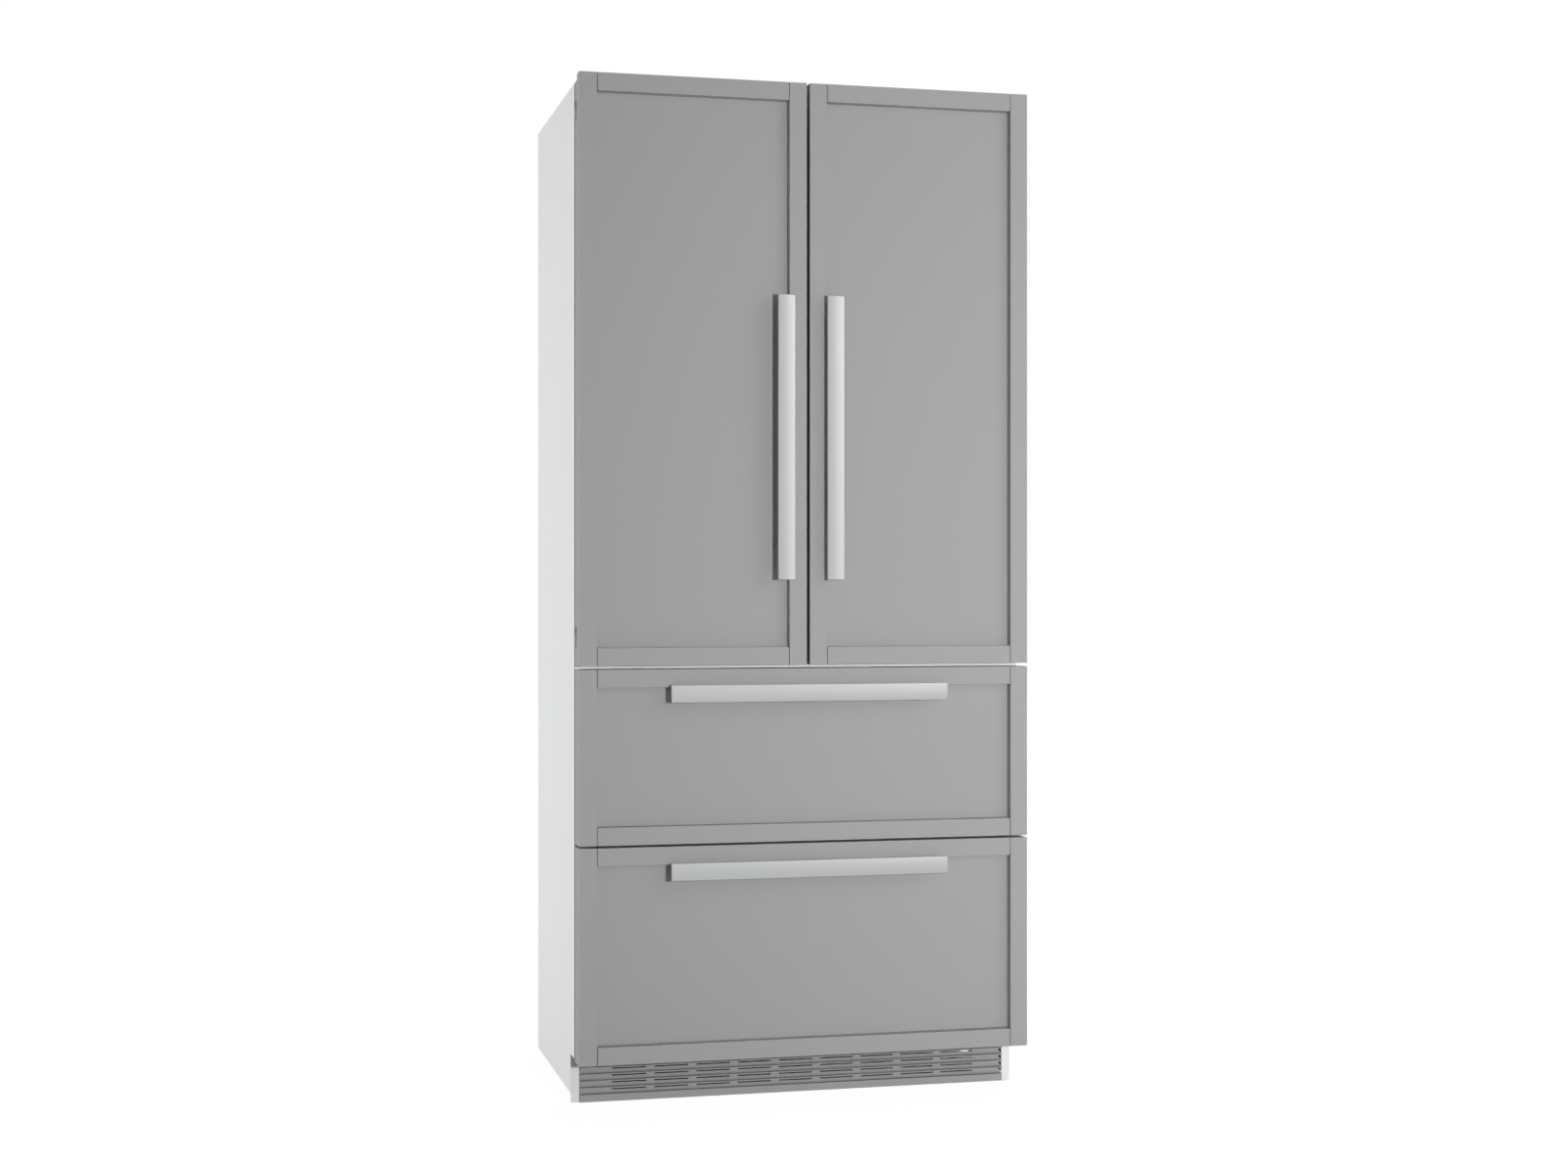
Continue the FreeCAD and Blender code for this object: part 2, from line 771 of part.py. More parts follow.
def machine_cover():
    """Slotted sheet over the machine compartment, with the sleeve where the mains lead leaves."""
    cover = block(-wrap_inside, wrap_inside, back_front_d, cabinet_depth, wrap_bottom_z + base_sheet,
                  machine_top_z + base_sheet)
    middle_z = (wrap_bottom_z + machine_top_z) / 2
    slots = []
    for side in (-1, 1):
        for i in range(vent_slot_count):
            x = side * (liner_half / 2) + (i - (vent_slot_count - 1) / 2) * vent_slot_pitch
            slots.append(block(x - vent_slot_width / 2, x + vent_slot_width / 2, back_front_d - 1,
                               cabinet_depth + 1, middle_z - vent_slot_height / 2,
                               middle_z + vent_slot_height / 2))
    sleeve_d = back_front_d - cord_gland_length
    sleeve = rod_y(cord_gland_r, 0, sleeve_d, cabinet_depth, middle_z)
    bore = rod_y(cord_gland_r / 2, 0, sleeve_d - 1, cabinet_depth + 1, middle_z)
    return [cover.cut(slots).fuse(sleeve).cut(bore).removeSplitter()]


# ================================================================ base and plinth
def foot_boss():
    """Block on the side channel that takes the stud of a levelling foot."""
    half = foot_boss_size / 2
    boss = block(-wrap_inside + base_channel_width, -foot_x + half, foot_d - half, foot_d + half,
                 foot_boss_bottom_z, toe_notch_top)
    bore = rod_z(foot_stud_r + pin_clearance, -foot_x, foot_d, foot_boss_bottom_z - 1,
                 foot_stud_top_z + knuckle_gap)
    return boss.cut(bore)


axle_reach = roller_width / 2 + roller_ear_gap + roller_ear_thickness + roller_axle_overhang


def roller_ears():
    """Two ears that hold the axle of one rear roller."""
    ears = []
    inner = roller_width / 2 + roller_ear_gap
    for x0 in (-roller_x - inner - roller_ear_thickness, -roller_x + inner):
        ear = block(x0, x0 + roller_ear_thickness, roller_d - roller_ear_half_depth,
                    roller_d + roller_ear_half_depth, roller_ear_bottom_z, roller_ear_top_z)
        bore = rod_x(roller_axle_r + pin_clearance, x0 - 1, x0 + roller_ear_thickness + 1, roller_d, roller_r)
        ears.append(ear.cut(bore))
    return ears


def base_frame():
    """Floor pan under the foam, side channels, machine floor and bulkhead, feet and roller seats."""
    x = wrap_inside
    z0 = wrap_bottom_z
    pieces = [
        block(-x, x, cabinet_front_d + wrap_sheet, machine_front_d, toe_notch_top, base_pan_top_z),
        block(-x, x, machine_front_d - base_sheet, back_front_d, z0, z0 + base_sheet),
        block(-x, x, machine_front_d - base_sheet, machine_front_d, toe_notch_top, machine_top_z),
        block(-x, x, machine_front_d - base_sheet, back_front_d, machine_top_z, machine_top_z + base_sheet),
        block(-base_sheet, base_sheet, grille_back_d + centre_rib_grille_gap, machine_front_d, z0, toe_notch_top),
        block(-x, x, machine_front_d - machine_floor_lap, machine_front_d, z0, z0 + base_sheet),
    ]
    side = block(-x, -x + base_channel_width, toe_notch_depth, back_front_d, z0, toe_notch_top)
    hollow = block(-x + base_sheet, -x + base_channel_width + 1, toe_notch_depth + channel_solid_length,
                   back_front_d, z0 + base_sheet, toe_notch_top - base_sheet)
    side = side.cut(hollow)
    for shape in (side, foot_boss()):
        pieces += both_sides([shape])
    frame = pieces[0].fuse(pieces[1:])
    reach = roller_r + roller_well_gap
    half = roller_width / 2 + roller_ear_gap
    well = block(-roller_x - half, -roller_x + half, roller_d - reach, roller_d + reach, z0 - 1,
                 z0 + base_sheet + 1)
    frame = frame.cut(both_sides([well]))
    for ear in roller_ears():
        frame = frame.fuse(both_sides([ear]))
    for ear_bore_x in (-roller_x, roller_x):
        frame = frame.cut(rod_x(roller_axle_r + pin_clearance, ear_bore_x - axle_reach - 1,
                                ear_bore_x + axle_reach + 1, roller_d, roller_r))
    return [frame.removeSplitter()]


def plinth_bracket():
    """White strip beside the grille, fixed to the end of the side channel."""
    x0 = -half_width
    t = plinth_bracket_sheet
    d0 = plinth_bracket_front_d
    return [block(x0, x0 + grille_side_inset - grille_end_gap, d0, d0 + t, plinth_bracket_floor_gap,
                  toe_notch_top)]


def plinth_brackets():
    return both_sides(plinth_bracket())


def toe_grille():
    """Saw-tooth louvres over a flat band, pierced by rows of slots; the right end is open below each lip."""
    x0 = -half_width + grille_side_inset
    x1 = -x0
    points = [(grille_back_d, grille_bottom_z), (grille_front_d, grille_bottom_z)]
    for i in range(louvre_count):
        z0 = grille_band_height + i * louvre_pitch
        z1 = z0 + louvre_pitch
        points += [(grille_front_d, z0), (grille_front_d + louvre_depth, z0)]
        points.append((grille_front_d, z1 - louvre_lip))
    points += [(grille_front_d, grille_top_z), (grille_back_d, grille_top_z)]
    corners = [Vector(x0, y_at(d), z) for d, z in points]
    plate = Part.Face(Part.makePolygon(corners + corners[:1])).extrude(Vector(x1 - x0, 0, 0))
    slots = []
    for row in range(louvre_count):
        lip_z = grille_band_height + (row + 1) * louvre_pitch - louvre_lip
        for column in range(slot_columns):
            x = (column - (slot_columns - 1) / 2) * slot_pitch
            slots.append(block(x - slot_width / 2, x + slot_width / 2, grille_front_d - 1, grille_back_d + 1,
                               lip_z - slot_height, lip_z))
        notch = [Vector(x1 - end_notch_width, y_at(grille_front_d - 1), lip_z),
                 Vector(x1 + 1, y_at(grille_front_d - 1), lip_z),
                 Vector(x1 + 1, y_at(grille_front_d - 1), lip_z - end_notch_height),
                 Vector(x1, y_at(grille_front_d - 1), lip_z - end_notch_height)]
        face = Part.Face(Part.makePolygon(notch + notch[:1]))
        slots.append(face.extrude(Vector(0, grille_back_d - grille_front_d + 2, 0)))
    return [plate.cut(slots)]


def levelling_foot():
    """Round pad with a screwed stud, left side."""
    pad = rod_z(foot_pad_r, -foot_x, foot_d, 0, foot_pad_height)
    return pad.fuse(rod_z(foot_stud_r, -foot_x, foot_d, foot_pad_height, foot_stud_top_z)).removeSplitter()


def rear_roller():
    """Wheel with its axle, left side."""
    half = roller_width / 2
    wheel = rod_x(roller_r, -roller_x - half, -roller_x + half, roller_d, roller_r)
    axle = rod_x(roller_axle_r, -roller_x - axle_reach, -roller_x + axle_reach, roller_d, roller_r)
    return wheel.fuse(axle).removeSplitter()


# ================================================================ storage inside
def glass_shelves():
    """Glass plates with a front trim, resting on the ledges of the liner."""
    half = liner_half - shelf_side_gap
    rear = fridge_rear_d - duct_thickness - shelf_side_gap
    solids = []
    for z in shelf_heights:
        glass_d = shelf_front_d + shelf_trim_depth
        solids.append(block(-half, half, glass_d, rear, z, z + shelf_glass))
        trim_z = z + shelf_glass - shelf_trim_height
        trim_half = liner_half - ledge_width - shelf_side_gap
        solids.append(block(-trim_half, trim_half, shelf_front_d, glass_d, trim_z, z + shelf_glass))
    return solids


def crisper_tub():
    """Left crisper tub, open at the top, under the lowest shelf."""
    z0 = fridge_bottom_z + crisper_floor_gap
    z1 = shelf_heights[0] - ledge_height - crisper_top_gap
    x0 = -liner_half + crisper_side_gap
    rear = fridge_rear_d - duct_thickness - shelf_side_gap
    return [open_box(x0, -crisper_centre_gap / 2, crisper_front_d, rear, z0, z1, crisper_wall)]


def duct_cover():
    """Cold-air duct up the rear wall with pairs of outlets."""
    rear = fridge_rear_d
    front = rear - duct_thickness
    cover = block(-duct_half_width, duct_half_width, front, rear, fridge_bottom_z + liner_corner_r,
                  fridge_top_z - liner_corner_r)
    wall = bin_wall
    hollow = block(-duct_half_width + wall, duct_half_width - wall, front + wall, rear + 1,
                   fridge_bottom_z + liner_corner_r + wall, fridge_top_z - liner_corner_r - wall)
    outlets = []
    for z in shelf_heights:
        for side in (-1, 1):
            centre = side * outlet_offset
            for i in range(outlets_per_group):
                z0 = z + outlet_rise + i * outlet_pitch
                outlets.append(block(centre - outlet_width / 2, centre + outlet_width / 2, front - 1,
                                     front + wall + 1, z0, z0 + outlet_height))
    return [cover.cut(hollow).cut(outlets)]


def ceiling_console():
    """Light cover and touch strip under the ceiling of the refrigerator."""
    half = console_width / 2
    strip_half = touch_strip_width / 2
    z0 = fridge_top_z - console_height
    light = block(-half, half, console_front_d, console_front_d + console_depth, z0, fridge_top_z)
    strip = block(-strip_half, strip_half, touch_strip_front_d, touch_strip_front_d + touch_strip_depth, z0,
                  fridge_top_z)
    return [light, strip]


# ================================================================ drawers
def drawer_front(z0, z1):
    return framed_front(-half_width, half_width, z0, z1)


def drawer_shell(z0, z1):
    return [steel_pan(-half_width + shell_inset, half_width - shell_inset, z0, z1)]


def drawer_filling(z0, z1):
    return list(pan_filling(-half_width + shell_inset, half_width - shell_inset, z0, z1))


def drawer_gasket(z0, z1):
    return [gasket_ring(-liner_half - gasket_lap, liner_half + gasket_lap, z0 - gasket_lap, z1 + gasket_lap)]


def channel(offset, z0, z1, depth_end, length, start_d):
    """C-section of a telescopic runner on the left wall, open towards the middle."""
    x0 = -liner_half + offset
    x1 = -liner_half + depth_end
    t = runner_sheet
    bar = block(x0, x1, start_d, start_d + length, z0, z1)
    return bar.cut(block(x0 + t, x1 + 1, start_d - 1, start_d + length + 1, z0 + t, z1 - t))


runner_step = runner_sheet + runner_clearance


def outer_runner(z, length):
    return channel(0, z, z + runner_height, runner_depth, length, runner_front_d)


def middle_runner(z, length):
    return channel(runner_step, z + runner_step, z + runner_height - runner_step,
                   runner_depth - runner_clearance, length, runner_front_d)


def inner_runner(z, length):
    """Solid bar fixed to the inner plate of the drawer, with the tab that carries the bin."""
    x0 = -liner_half + 2 * runner_step
    x1 = -liner_half + runner_depth - 2 * runner_clearance
    bar = block(x0, x1, shell_rear_d, runner_front_d + length, z + 2 * runner_step,
                z + runner_height - 2 * runner_step)
    tab_z = z + runner_tab_inset
    tab = block(x1, -liner_half + runner_depth + runner_tab_width, runner_front_d + runner_tab_end_gap,
                runner_front_d + length - runner_tab_end_gap, tab_z, tab_z + runner_tab_height)
    return bar.fuse(tab).removeSplitter()


bin_half = liner_half - runner_depth - runner_tab_width


def drawer_bin(rear_d, z0, z1):
    return open_box(-bin_half, bin_half, drawer_bin_front_d, rear_d, z0, z1, drawer_bin_wall)


def freezer_bin():
    """Deep tub with a ledge along each side that carries the sliding tray."""
    tub = drawer_bin(freezer_bin_rear_d, freezer_bin_bottom_z, freezer_bin_top_z)
    wall_x = bin_half - drawer_bin_wall
    ledge = block(-wall_x, -wall_x + tray_ledge_width, drawer_bin_front_d + drawer_bin_wall,
                  freezer_bin_rear_d - drawer_bin_wall, tray_ledge_z, tray_ledge_z + tray_ledge_height)
    return [tub.fuse(both_sides([ledge])).removeSplitter()]


def freezer_tray():
    """Shallow tray that slides backwards on the ledges of the freezer bin."""
    half = bin_half - drawer_bin_wall - tray_side_gap
    d0 = drawer_bin_front_d + drawer_bin_wall + tray_front_gap
    z0 = tray_ledge_z + tray_ledge_height + tray_seat_gap
    return [open_box(-half, half, d0, d0 + tray_length, z0, z0 + tray_height, drawer_bin_wall)]


# ================================================================ cooling machine
def finned_coil(x0, x1, d0, d1, z0, z1, fins, rows, columns):
    """Block of fins crossed by straight tubes."""
    step_z = (z1 - z0) / rows
    step_d = (d1 - d0) / columns
    places = [
        (d0 + (c + 0.5) * step_d, z0 + (r + 0.5) * step_z) for r in range(rows) for c in range(columns)
    ]
    end = coil_tube_overhang
    tubes = [rod_x(tube_r, x0 - end, x1 + end, d, z) for d, z in places]
    holes = [rod_x(tube_r + pin_clearance, x0 - 1, x1 + 1, d, z) for d, z in places]
    pitch = (x1 - x0 - fin_thickness) / (fins - 1)
    plates = []
    for i in range(fins):
        x = x0 + i * pitch
        plates.append(block(x, x + fin_thickness, d0, d1, z0, z1).cut(holes))
    headers = [
        block(x, x + coil_header_sheet, d0, d1, z0, z1) for x in (x0 - end - coil_header_sheet, x1 + end)
    ]
    return plates + tubes + headers


def compressor():
    """Sealed steel can on a mounting plate with four rubber blocks."""
    can = rod_z(compressor_r, compressor_x, compressor_d, compressor_body_z,
                compressor_body_z + compressor_body_height)
    centre = Vector(compressor_x, y_at(compressor_d), 0)
    ball_r = (compressor_r ** 2 + compressor_dome ** 2) / (2 * compressor_dome)
    top_z = compressor_body_z + compressor_body_height
    top = Part.makeSphere(ball_r, centre + Vector(0, 0, top_z + compressor_dome - ball_r))
    keep = rod_z(compressor_r, compressor_x, compressor_d, top_z, top_z + compressor_dome)
    can = can.fuse(top.common(keep))
    floor_z = wrap_bottom_z + base_sheet
    plate_z = floor_z + compressor_foot_height
    half_x = compressor_r + compressor_plate_overhang
    half_d = compressor_r - compressor_plate_depth_inset
    plate_top = plate_z + compressor_plate_sheet
    plate = block(compressor_x - half_x, compressor_x + half_x, compressor_d - half_d, compressor_d + half_d,
                  plate_z, plate_top)
    pedestal = rod_z(compressor_r - compressor_pedestal_inset, compressor_x, compressor_d, plate_top,
                     compressor_body_z)
    block_x = half_x - compressor_block_inset
    block_d = half_d - compressor_block_inset
    blocks = [
        rod_z(compressor_block_r, compressor_x + sx * block_x, compressor_d + sy * block_d, floor_z, plate_z)
        for sx in (-1, 1) for sy in (-1, 1)
    ]
    side_x = compressor_x - compressor_r
    terminal_z = compressor_body_z + terminal_rise
    terminal = block(side_x - terminal_standout, side_x + terminal_overlap,
                     compressor_d - terminal_half_depth, compressor_d + terminal_half_depth, terminal_z,
                     terminal_z + terminal_height)
    body = can.fuse([terminal, pedestal, plate]).removeSplitter()
    return [body] + blocks


def fan_rotor(hub_r, blade_r, width, count, shaft_length):
    """Hub with pitched flat blades, axis along +X, its front face at X = 0, with a shaft behind."""
    hub = Part.makeCylinder(hub_r, width, Vector(0, 0, 0), Vector(1, 0, 0))
    shaft = Part.makeCylinder(fan_shaft_r, shaft_length, Vector(width, 0, 0), Vector(1, 0, 0))
    blades = []
    chord, sheet, root = fan_blade_chord, fan_blade_sheet, fan_blade_root
    for i in range(count):
        blade = Part.makeBox(sheet, chord, blade_r - hub_r + root, Vector(-sheet / 2, -chord / 2, hub_r - root))
        blade.rotate(Vector(0, 0, 0), Vector(0, 0, 1), 60)
        blade.translate(Vector(width / 2, 0, 0))
        blade.rotate(Vector(0, 0, 0), Vector(1, 0, 0), i * 360.0 / count)
        blades.append(blade)
    rotor = hub.fuse(blades + [shaft])
    ring = Part.makeCylinder(blade_r, width, Vector(0, 0, 0), Vector(1, 0, 0))
    keep = ring.fuse(shaft)
    return rotor.common(keep).removeSplitter()


def condenser_fan():
    rotor = fan_rotor(fan_hub_r, fan_blade_r, fan_blade_width, fan_blade_count,
                      fan_shaft_length)
    rotor.translate(Vector(fan_x - fan_shroud_depth / 2 + fan_rotor_recess, y_at(fan_d), fan_z))
    return [rotor]


def fan_shroud():
    """Square frame round the fan, standing on the machine floor, with spokes that hold the motor."""
    x0 = fan_x - fan_shroud_depth / 2
    x1 = x0 + fan_shroud_depth
    half = fan_shroud_size / 2
    floor_z = wrap_bottom_z + base_sheet
    frame = block(x0, x1, fan_d - half, fan_d + half, floor_z, fan_z + half)
    frame = frame.cut(rod_x(fan_blade_r + fan_tip_gap, x0 - 1, x1 + 1, fan_d, fan_z))
    rotor_rear = fan_x - fan_shroud_depth / 2 + fan_rotor_recess + fan_blade_width
    motor_x0 = rotor_rear + fan_motor_gap
    motor = rod_x(fan_motor_r, motor_x0, motor_x0 + fan_motor_length, fan_d, fan_z)
    motor = motor.cut(rod_x(fan_shaft_r + pin_clearance, motor_x0 - 1, motor_x0 + fan_shaft_bore, fan_d,
                             fan_z))
    reach = fan_blade_r + fan_tip_gap + fan_spoke_lap
    spokes = []
    for side in (-1, 1):
        near = fan_d + side * (fan_motor_r - fan_spoke_lap)
        far = fan_d + side * reach
        spokes.append(block(motor_x0, x1, min(near, far), max(near, far), fan_z - fan_spoke_width / 2,
                            fan_z + fan_spoke_width / 2))
    return [frame.fuse(spokes + [motor]).removeSplitter()]


def evaporator_fan():
    rotor = fan_rotor(cold_fan_hub_r, cold_fan_blade_r, fan_blade_width, fan_blade_count,
                      cold_fan_shaft_length)
    rotor.rotate(Vector(0, 0, 0), Vector(0, 0, 1), 90)
    rotor.translate(Vector(0, y_at(cold_fan_start_d), cold_fan_z))
    return [rotor]


def evaporator_cover():
    """Rear wall of the freezer in front of the coil, with the fan opening and the motor bridge."""
    d0 = freezer_depth
    d1 = d0 + coil_cover_sheet
    top_z = freezer_top_z - liner_corner_r
    cover = block(-liner_half, liner_half, d0, d1, coil_chamber_bottom_z, top_z)
    cover = cover.cut(rod_y(cold_fan_blade_r + cold_fan_tip_gap, 0, d0 - 1, d1 + 1, cold_fan_z))
    motor_d0 = cold_fan_start_d + fan_blade_width + cold_motor_gap
    motor_d1 = motor_d0 + cold_motor_length
    motor = rod_y(cold_motor_r, 0, motor_d0, motor_d1, cold_fan_z)
    motor = motor.cut(rod_y(fan_shaft_r + pin_clearance, 0, motor_d0, motor_d1 - cold_shaft_bore_stop, cold_fan_z))
    reach = cold_fan_blade_r + cold_fan_tip_gap + 2 * bridge_sheet
    half = fan_spoke_width / 2
    bridge = block(-reach, reach, d1, motor_d1 + bridge_sheet, cold_fan_z - half, cold_fan_z + half)
    bridge = bridge.cut(block(bridge_sheet - reach, reach - bridge_sheet, d1 - 1, motor_d1,
                              cold_fan_z - half - 1, cold_fan_z + half + 1))
    return [cover, motor, bridge]


def evaporator():
    return finned_coil(-coil_half_width, coil_half_width, coil_front_d, coil_rear_d, coil_chamber_bottom_z,
                       coil_chamber_bottom_z + coil_height, coil_fins, coil_tube_rows, coil_tube_columns)


def condenser():
    coil = finned_coil(condenser_x0, condenser_x1, condenser_front_d, condenser_rear_d, condenser_bottom_z,
                       condenser_top_z, condenser_fins, condenser_tube_rows, condenser_tube_columns)
    floor_z = wrap_bottom_z + base_sheet
    skids = [
        block(x, x + skid_width, condenser_front_d, condenser_rear_d, floor_z, condenser_bottom_z)
        for x in (condenser_x0 - coil_header_sheet - skid_width, condenser_x1 + coil_header_sheet)
    ]
    return coil + skids


def fixing_brackets():
    """Flat roof plates with two screw holes for the furniture housing."""
    x0 = roof_bracket_x - roof_bracket_length / 2
    d0 = roof_bracket_front_d
    plate = block(x0, x0 + roof_bracket_length, d0, d0 + roof_bracket_width, cabinet_top_z,
                  cabinet_top_z + roof_bracket_sheet)
    for side in (-1, 1):
        x = roof_bracket_x + side * roof_bracket_hole_spacing / 2
        plate = plate.cut(rod_z(roof_bracket_hole_r, x, d0 + roof_bracket_width / 2, cabinet_top_z - 1,
                                cabinet_top_z + roof_bracket_sheet + 1))
    return both_sides([plate])


# ================================================================ write every node
os.makedirs("parts", exist_ok=True)

save("outer_wrap", outer_wrap())
save("back_panel", back_panel())
save("base_frame", base_frame())
save("cabinet_foam", cabinet_foam())
save("fridge_liner", fridge_liner())
save("drawer_liner", drawer_liner())
save("freezer_liner", freezer_liner())
save("cross_rails", cross_rails())
save("plinth_brackets", plinth_brackets())
save("toe_grille", toe_grille())
hinges = [cabinet_hinge(z) for z in hinge_heights] + [hinge_pin(z) for z in hinge_heights]
save("door_hinges", both_sides(hinges))
save("duct_cover", duct_cover())
save("glass_shelves", glass_shelves())
save("ceiling_console", ceiling_console())
save("compressor", compressor())
save("condenser", condenser())
save("fan_shroud", fan_shroud())
save("evaporator", evaporator())
save("evaporator_cover", evaporator_cover())
save("machine_cover", machine_cover())
save("fixing_brackets", fixing_brackets())

save("condenser_fan", condenser_fan())
save("evaporator_fan", evaporator_fan())

door_pieces = {
    "front": door_front(),
    "shell": door_shell(),
    "liner": door_liner(),
    "gasket": door_gasket(),
    "handle": door_handle(),
    "bins": door_bins(),
}
for piece, solids in door_pieces.items():
    extra = mullion_brackets() if piece == "liner" else []
    save("left_door_" + piece, solids + extra)
    save("right_door_" + piece, [mirror_x(solid) for solid in solids])
save("mullion_flap", mullion_flap())

save("crisper_left", crisper_tub())
save("crisper_right", [mirror_x(solid) for solid in crisper_tub()])

middle_handle_z = middle_front_top_z - drawer_handle_drop
freezer_handle_z = freezer_front_top_z - drawer_handle_drop
drawers = [
    ("middle_drawer", middle_front_bottom_z, middle_front_top_z, middle_bottom_z, middle_top_z,
     middle_runner_z, runner_length_middle, middle_handle_z),
    ("freezer_drawer", front_bottom_z, freezer_front_top_z, freezer_bottom_z, freezer_top_z,
     freezer_runner_z, runner_length_freezer, freezer_handle_z),
]
for name, z0, z1, opening_z0, opening_z1, runner_z, runner_length, handle_z in drawers:
    save(name + "_front", drawer_front(z0, z1))
    save(name + "_shell", drawer_shell(z0, z1))
    save(name + "_liner", drawer_filling(z0, z1))
    save(name + "_gasket", drawer_gasket(opening_z0, opening_z1))
    save(name + "_handle", level_handle(handle_z))
    save(name + "_middle_runners", both_sides([middle_runner(runner_z, runner_length)]))
    save(name + "_inner_runners", both_sides([inner_runner(runner_z, runner_length)]))
save("middle_drawer_bin", [drawer_bin(middle_bin_rear_d, middle_bin_bottom_z, middle_bin_top_z)])
save("freezer_drawer_bin", freezer_bin())
save("freezer_tray", freezer_tray())
outer_runners = [
    outer_runner(middle_runner_z, runner_length_middle),
    outer_runner(freezer_runner_z, runner_length_freezer),
]
save("outer_runners", both_sides(outer_runners))

save("left_foot", [levelling_foot()])
save("right_foot", [mirror_x(levelling_foot())])
save("left_roller", [rear_roller()])
save("right_roller", [mirror_x(rear_roller())])

print("overall height", overall_height, "front y", front_y)
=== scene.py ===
import math

import bmesh
import bpy
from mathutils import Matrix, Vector


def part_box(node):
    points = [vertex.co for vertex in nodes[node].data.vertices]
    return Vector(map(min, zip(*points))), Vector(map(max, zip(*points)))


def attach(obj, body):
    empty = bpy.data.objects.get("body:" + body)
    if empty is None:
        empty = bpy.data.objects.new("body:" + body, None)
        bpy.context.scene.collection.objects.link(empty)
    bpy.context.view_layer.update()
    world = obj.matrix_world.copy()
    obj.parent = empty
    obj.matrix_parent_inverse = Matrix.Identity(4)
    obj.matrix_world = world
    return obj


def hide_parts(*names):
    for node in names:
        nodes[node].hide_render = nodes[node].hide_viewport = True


# Looks of a built-in refrigerator-freezer with two doors above two drawers, in metres, +Z up.

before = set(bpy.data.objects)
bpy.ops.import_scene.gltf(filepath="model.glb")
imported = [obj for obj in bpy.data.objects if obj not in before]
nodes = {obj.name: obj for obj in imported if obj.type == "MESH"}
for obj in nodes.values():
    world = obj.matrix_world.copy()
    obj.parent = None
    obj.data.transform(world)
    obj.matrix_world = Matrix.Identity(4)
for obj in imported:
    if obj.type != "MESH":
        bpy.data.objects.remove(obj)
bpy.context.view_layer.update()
scene = bpy.context.scene

FRONT_Y = -0.2755                           # front face of the door and drawer frames
LEAVES = ("left_door", "right_door", "middle_drawer", "freezer_drawer")
COLOUR_A, COLOUR_B, COLOUR_OUT = 6, 7, 2    # colour sockets of a Mix node


# ---------------------------------------------------------------- colours and materials
def linear(value):
    """Linear value of an 8-bit screen grey."""
    v = value / 255.0
    return v / 12.92 if v <= 0.04045 else ((v + 0.055) / 1.055) ** 2.4


def tone(r, g=None, b=None):
    """Shader colour of an 8-bit screen colour; one value alone is a grey."""
    g = r if g is None else g
    b = r if b is None else b
    return (linear(r), linear(g), linear(b), 1.0)


def scaled(colour, factor):
    return tuple(min(1.0, c * factor) for c in colour[:3]) + (1.0,)


def map_range(tree, source, from_min=0.0, from_max=1.0, to_min=0.0, to_max=1.0):
    """Output of a Map Range node fed by the source."""
    node = tree.nodes.new("ShaderNodeMapRange")
    limits = {"From Min": from_min, "From Max": from_max, "To Min": to_min, "To Max": to_max}
    for socket, value in limits.items():
        node.inputs[socket].default_value = value
    tree.links.new(source, node.inputs["Value"])
    return node.outputs["Result"]


def combine(tree, operation, first, second):
    """Output of a Math node on two outputs."""
    node = tree.nodes.new("ShaderNodeMath")
    node.operation = operation
    tree.links.new(first, node.inputs[0])
    tree.links.new(second, node.inputs[1])
    return node.outputs[0]


def noise(tree, vector, scale, detail):
    """Output of a noise texture on the given coordinates."""
    node = tree.nodes.new("ShaderNodeTexNoise")
    node.inputs["Scale"].default_value = scale
    node.inputs["Detail"].default_value = detail
    tree.links.new(vector, node.inputs["Vector"])
    return node.outputs["Fac"]


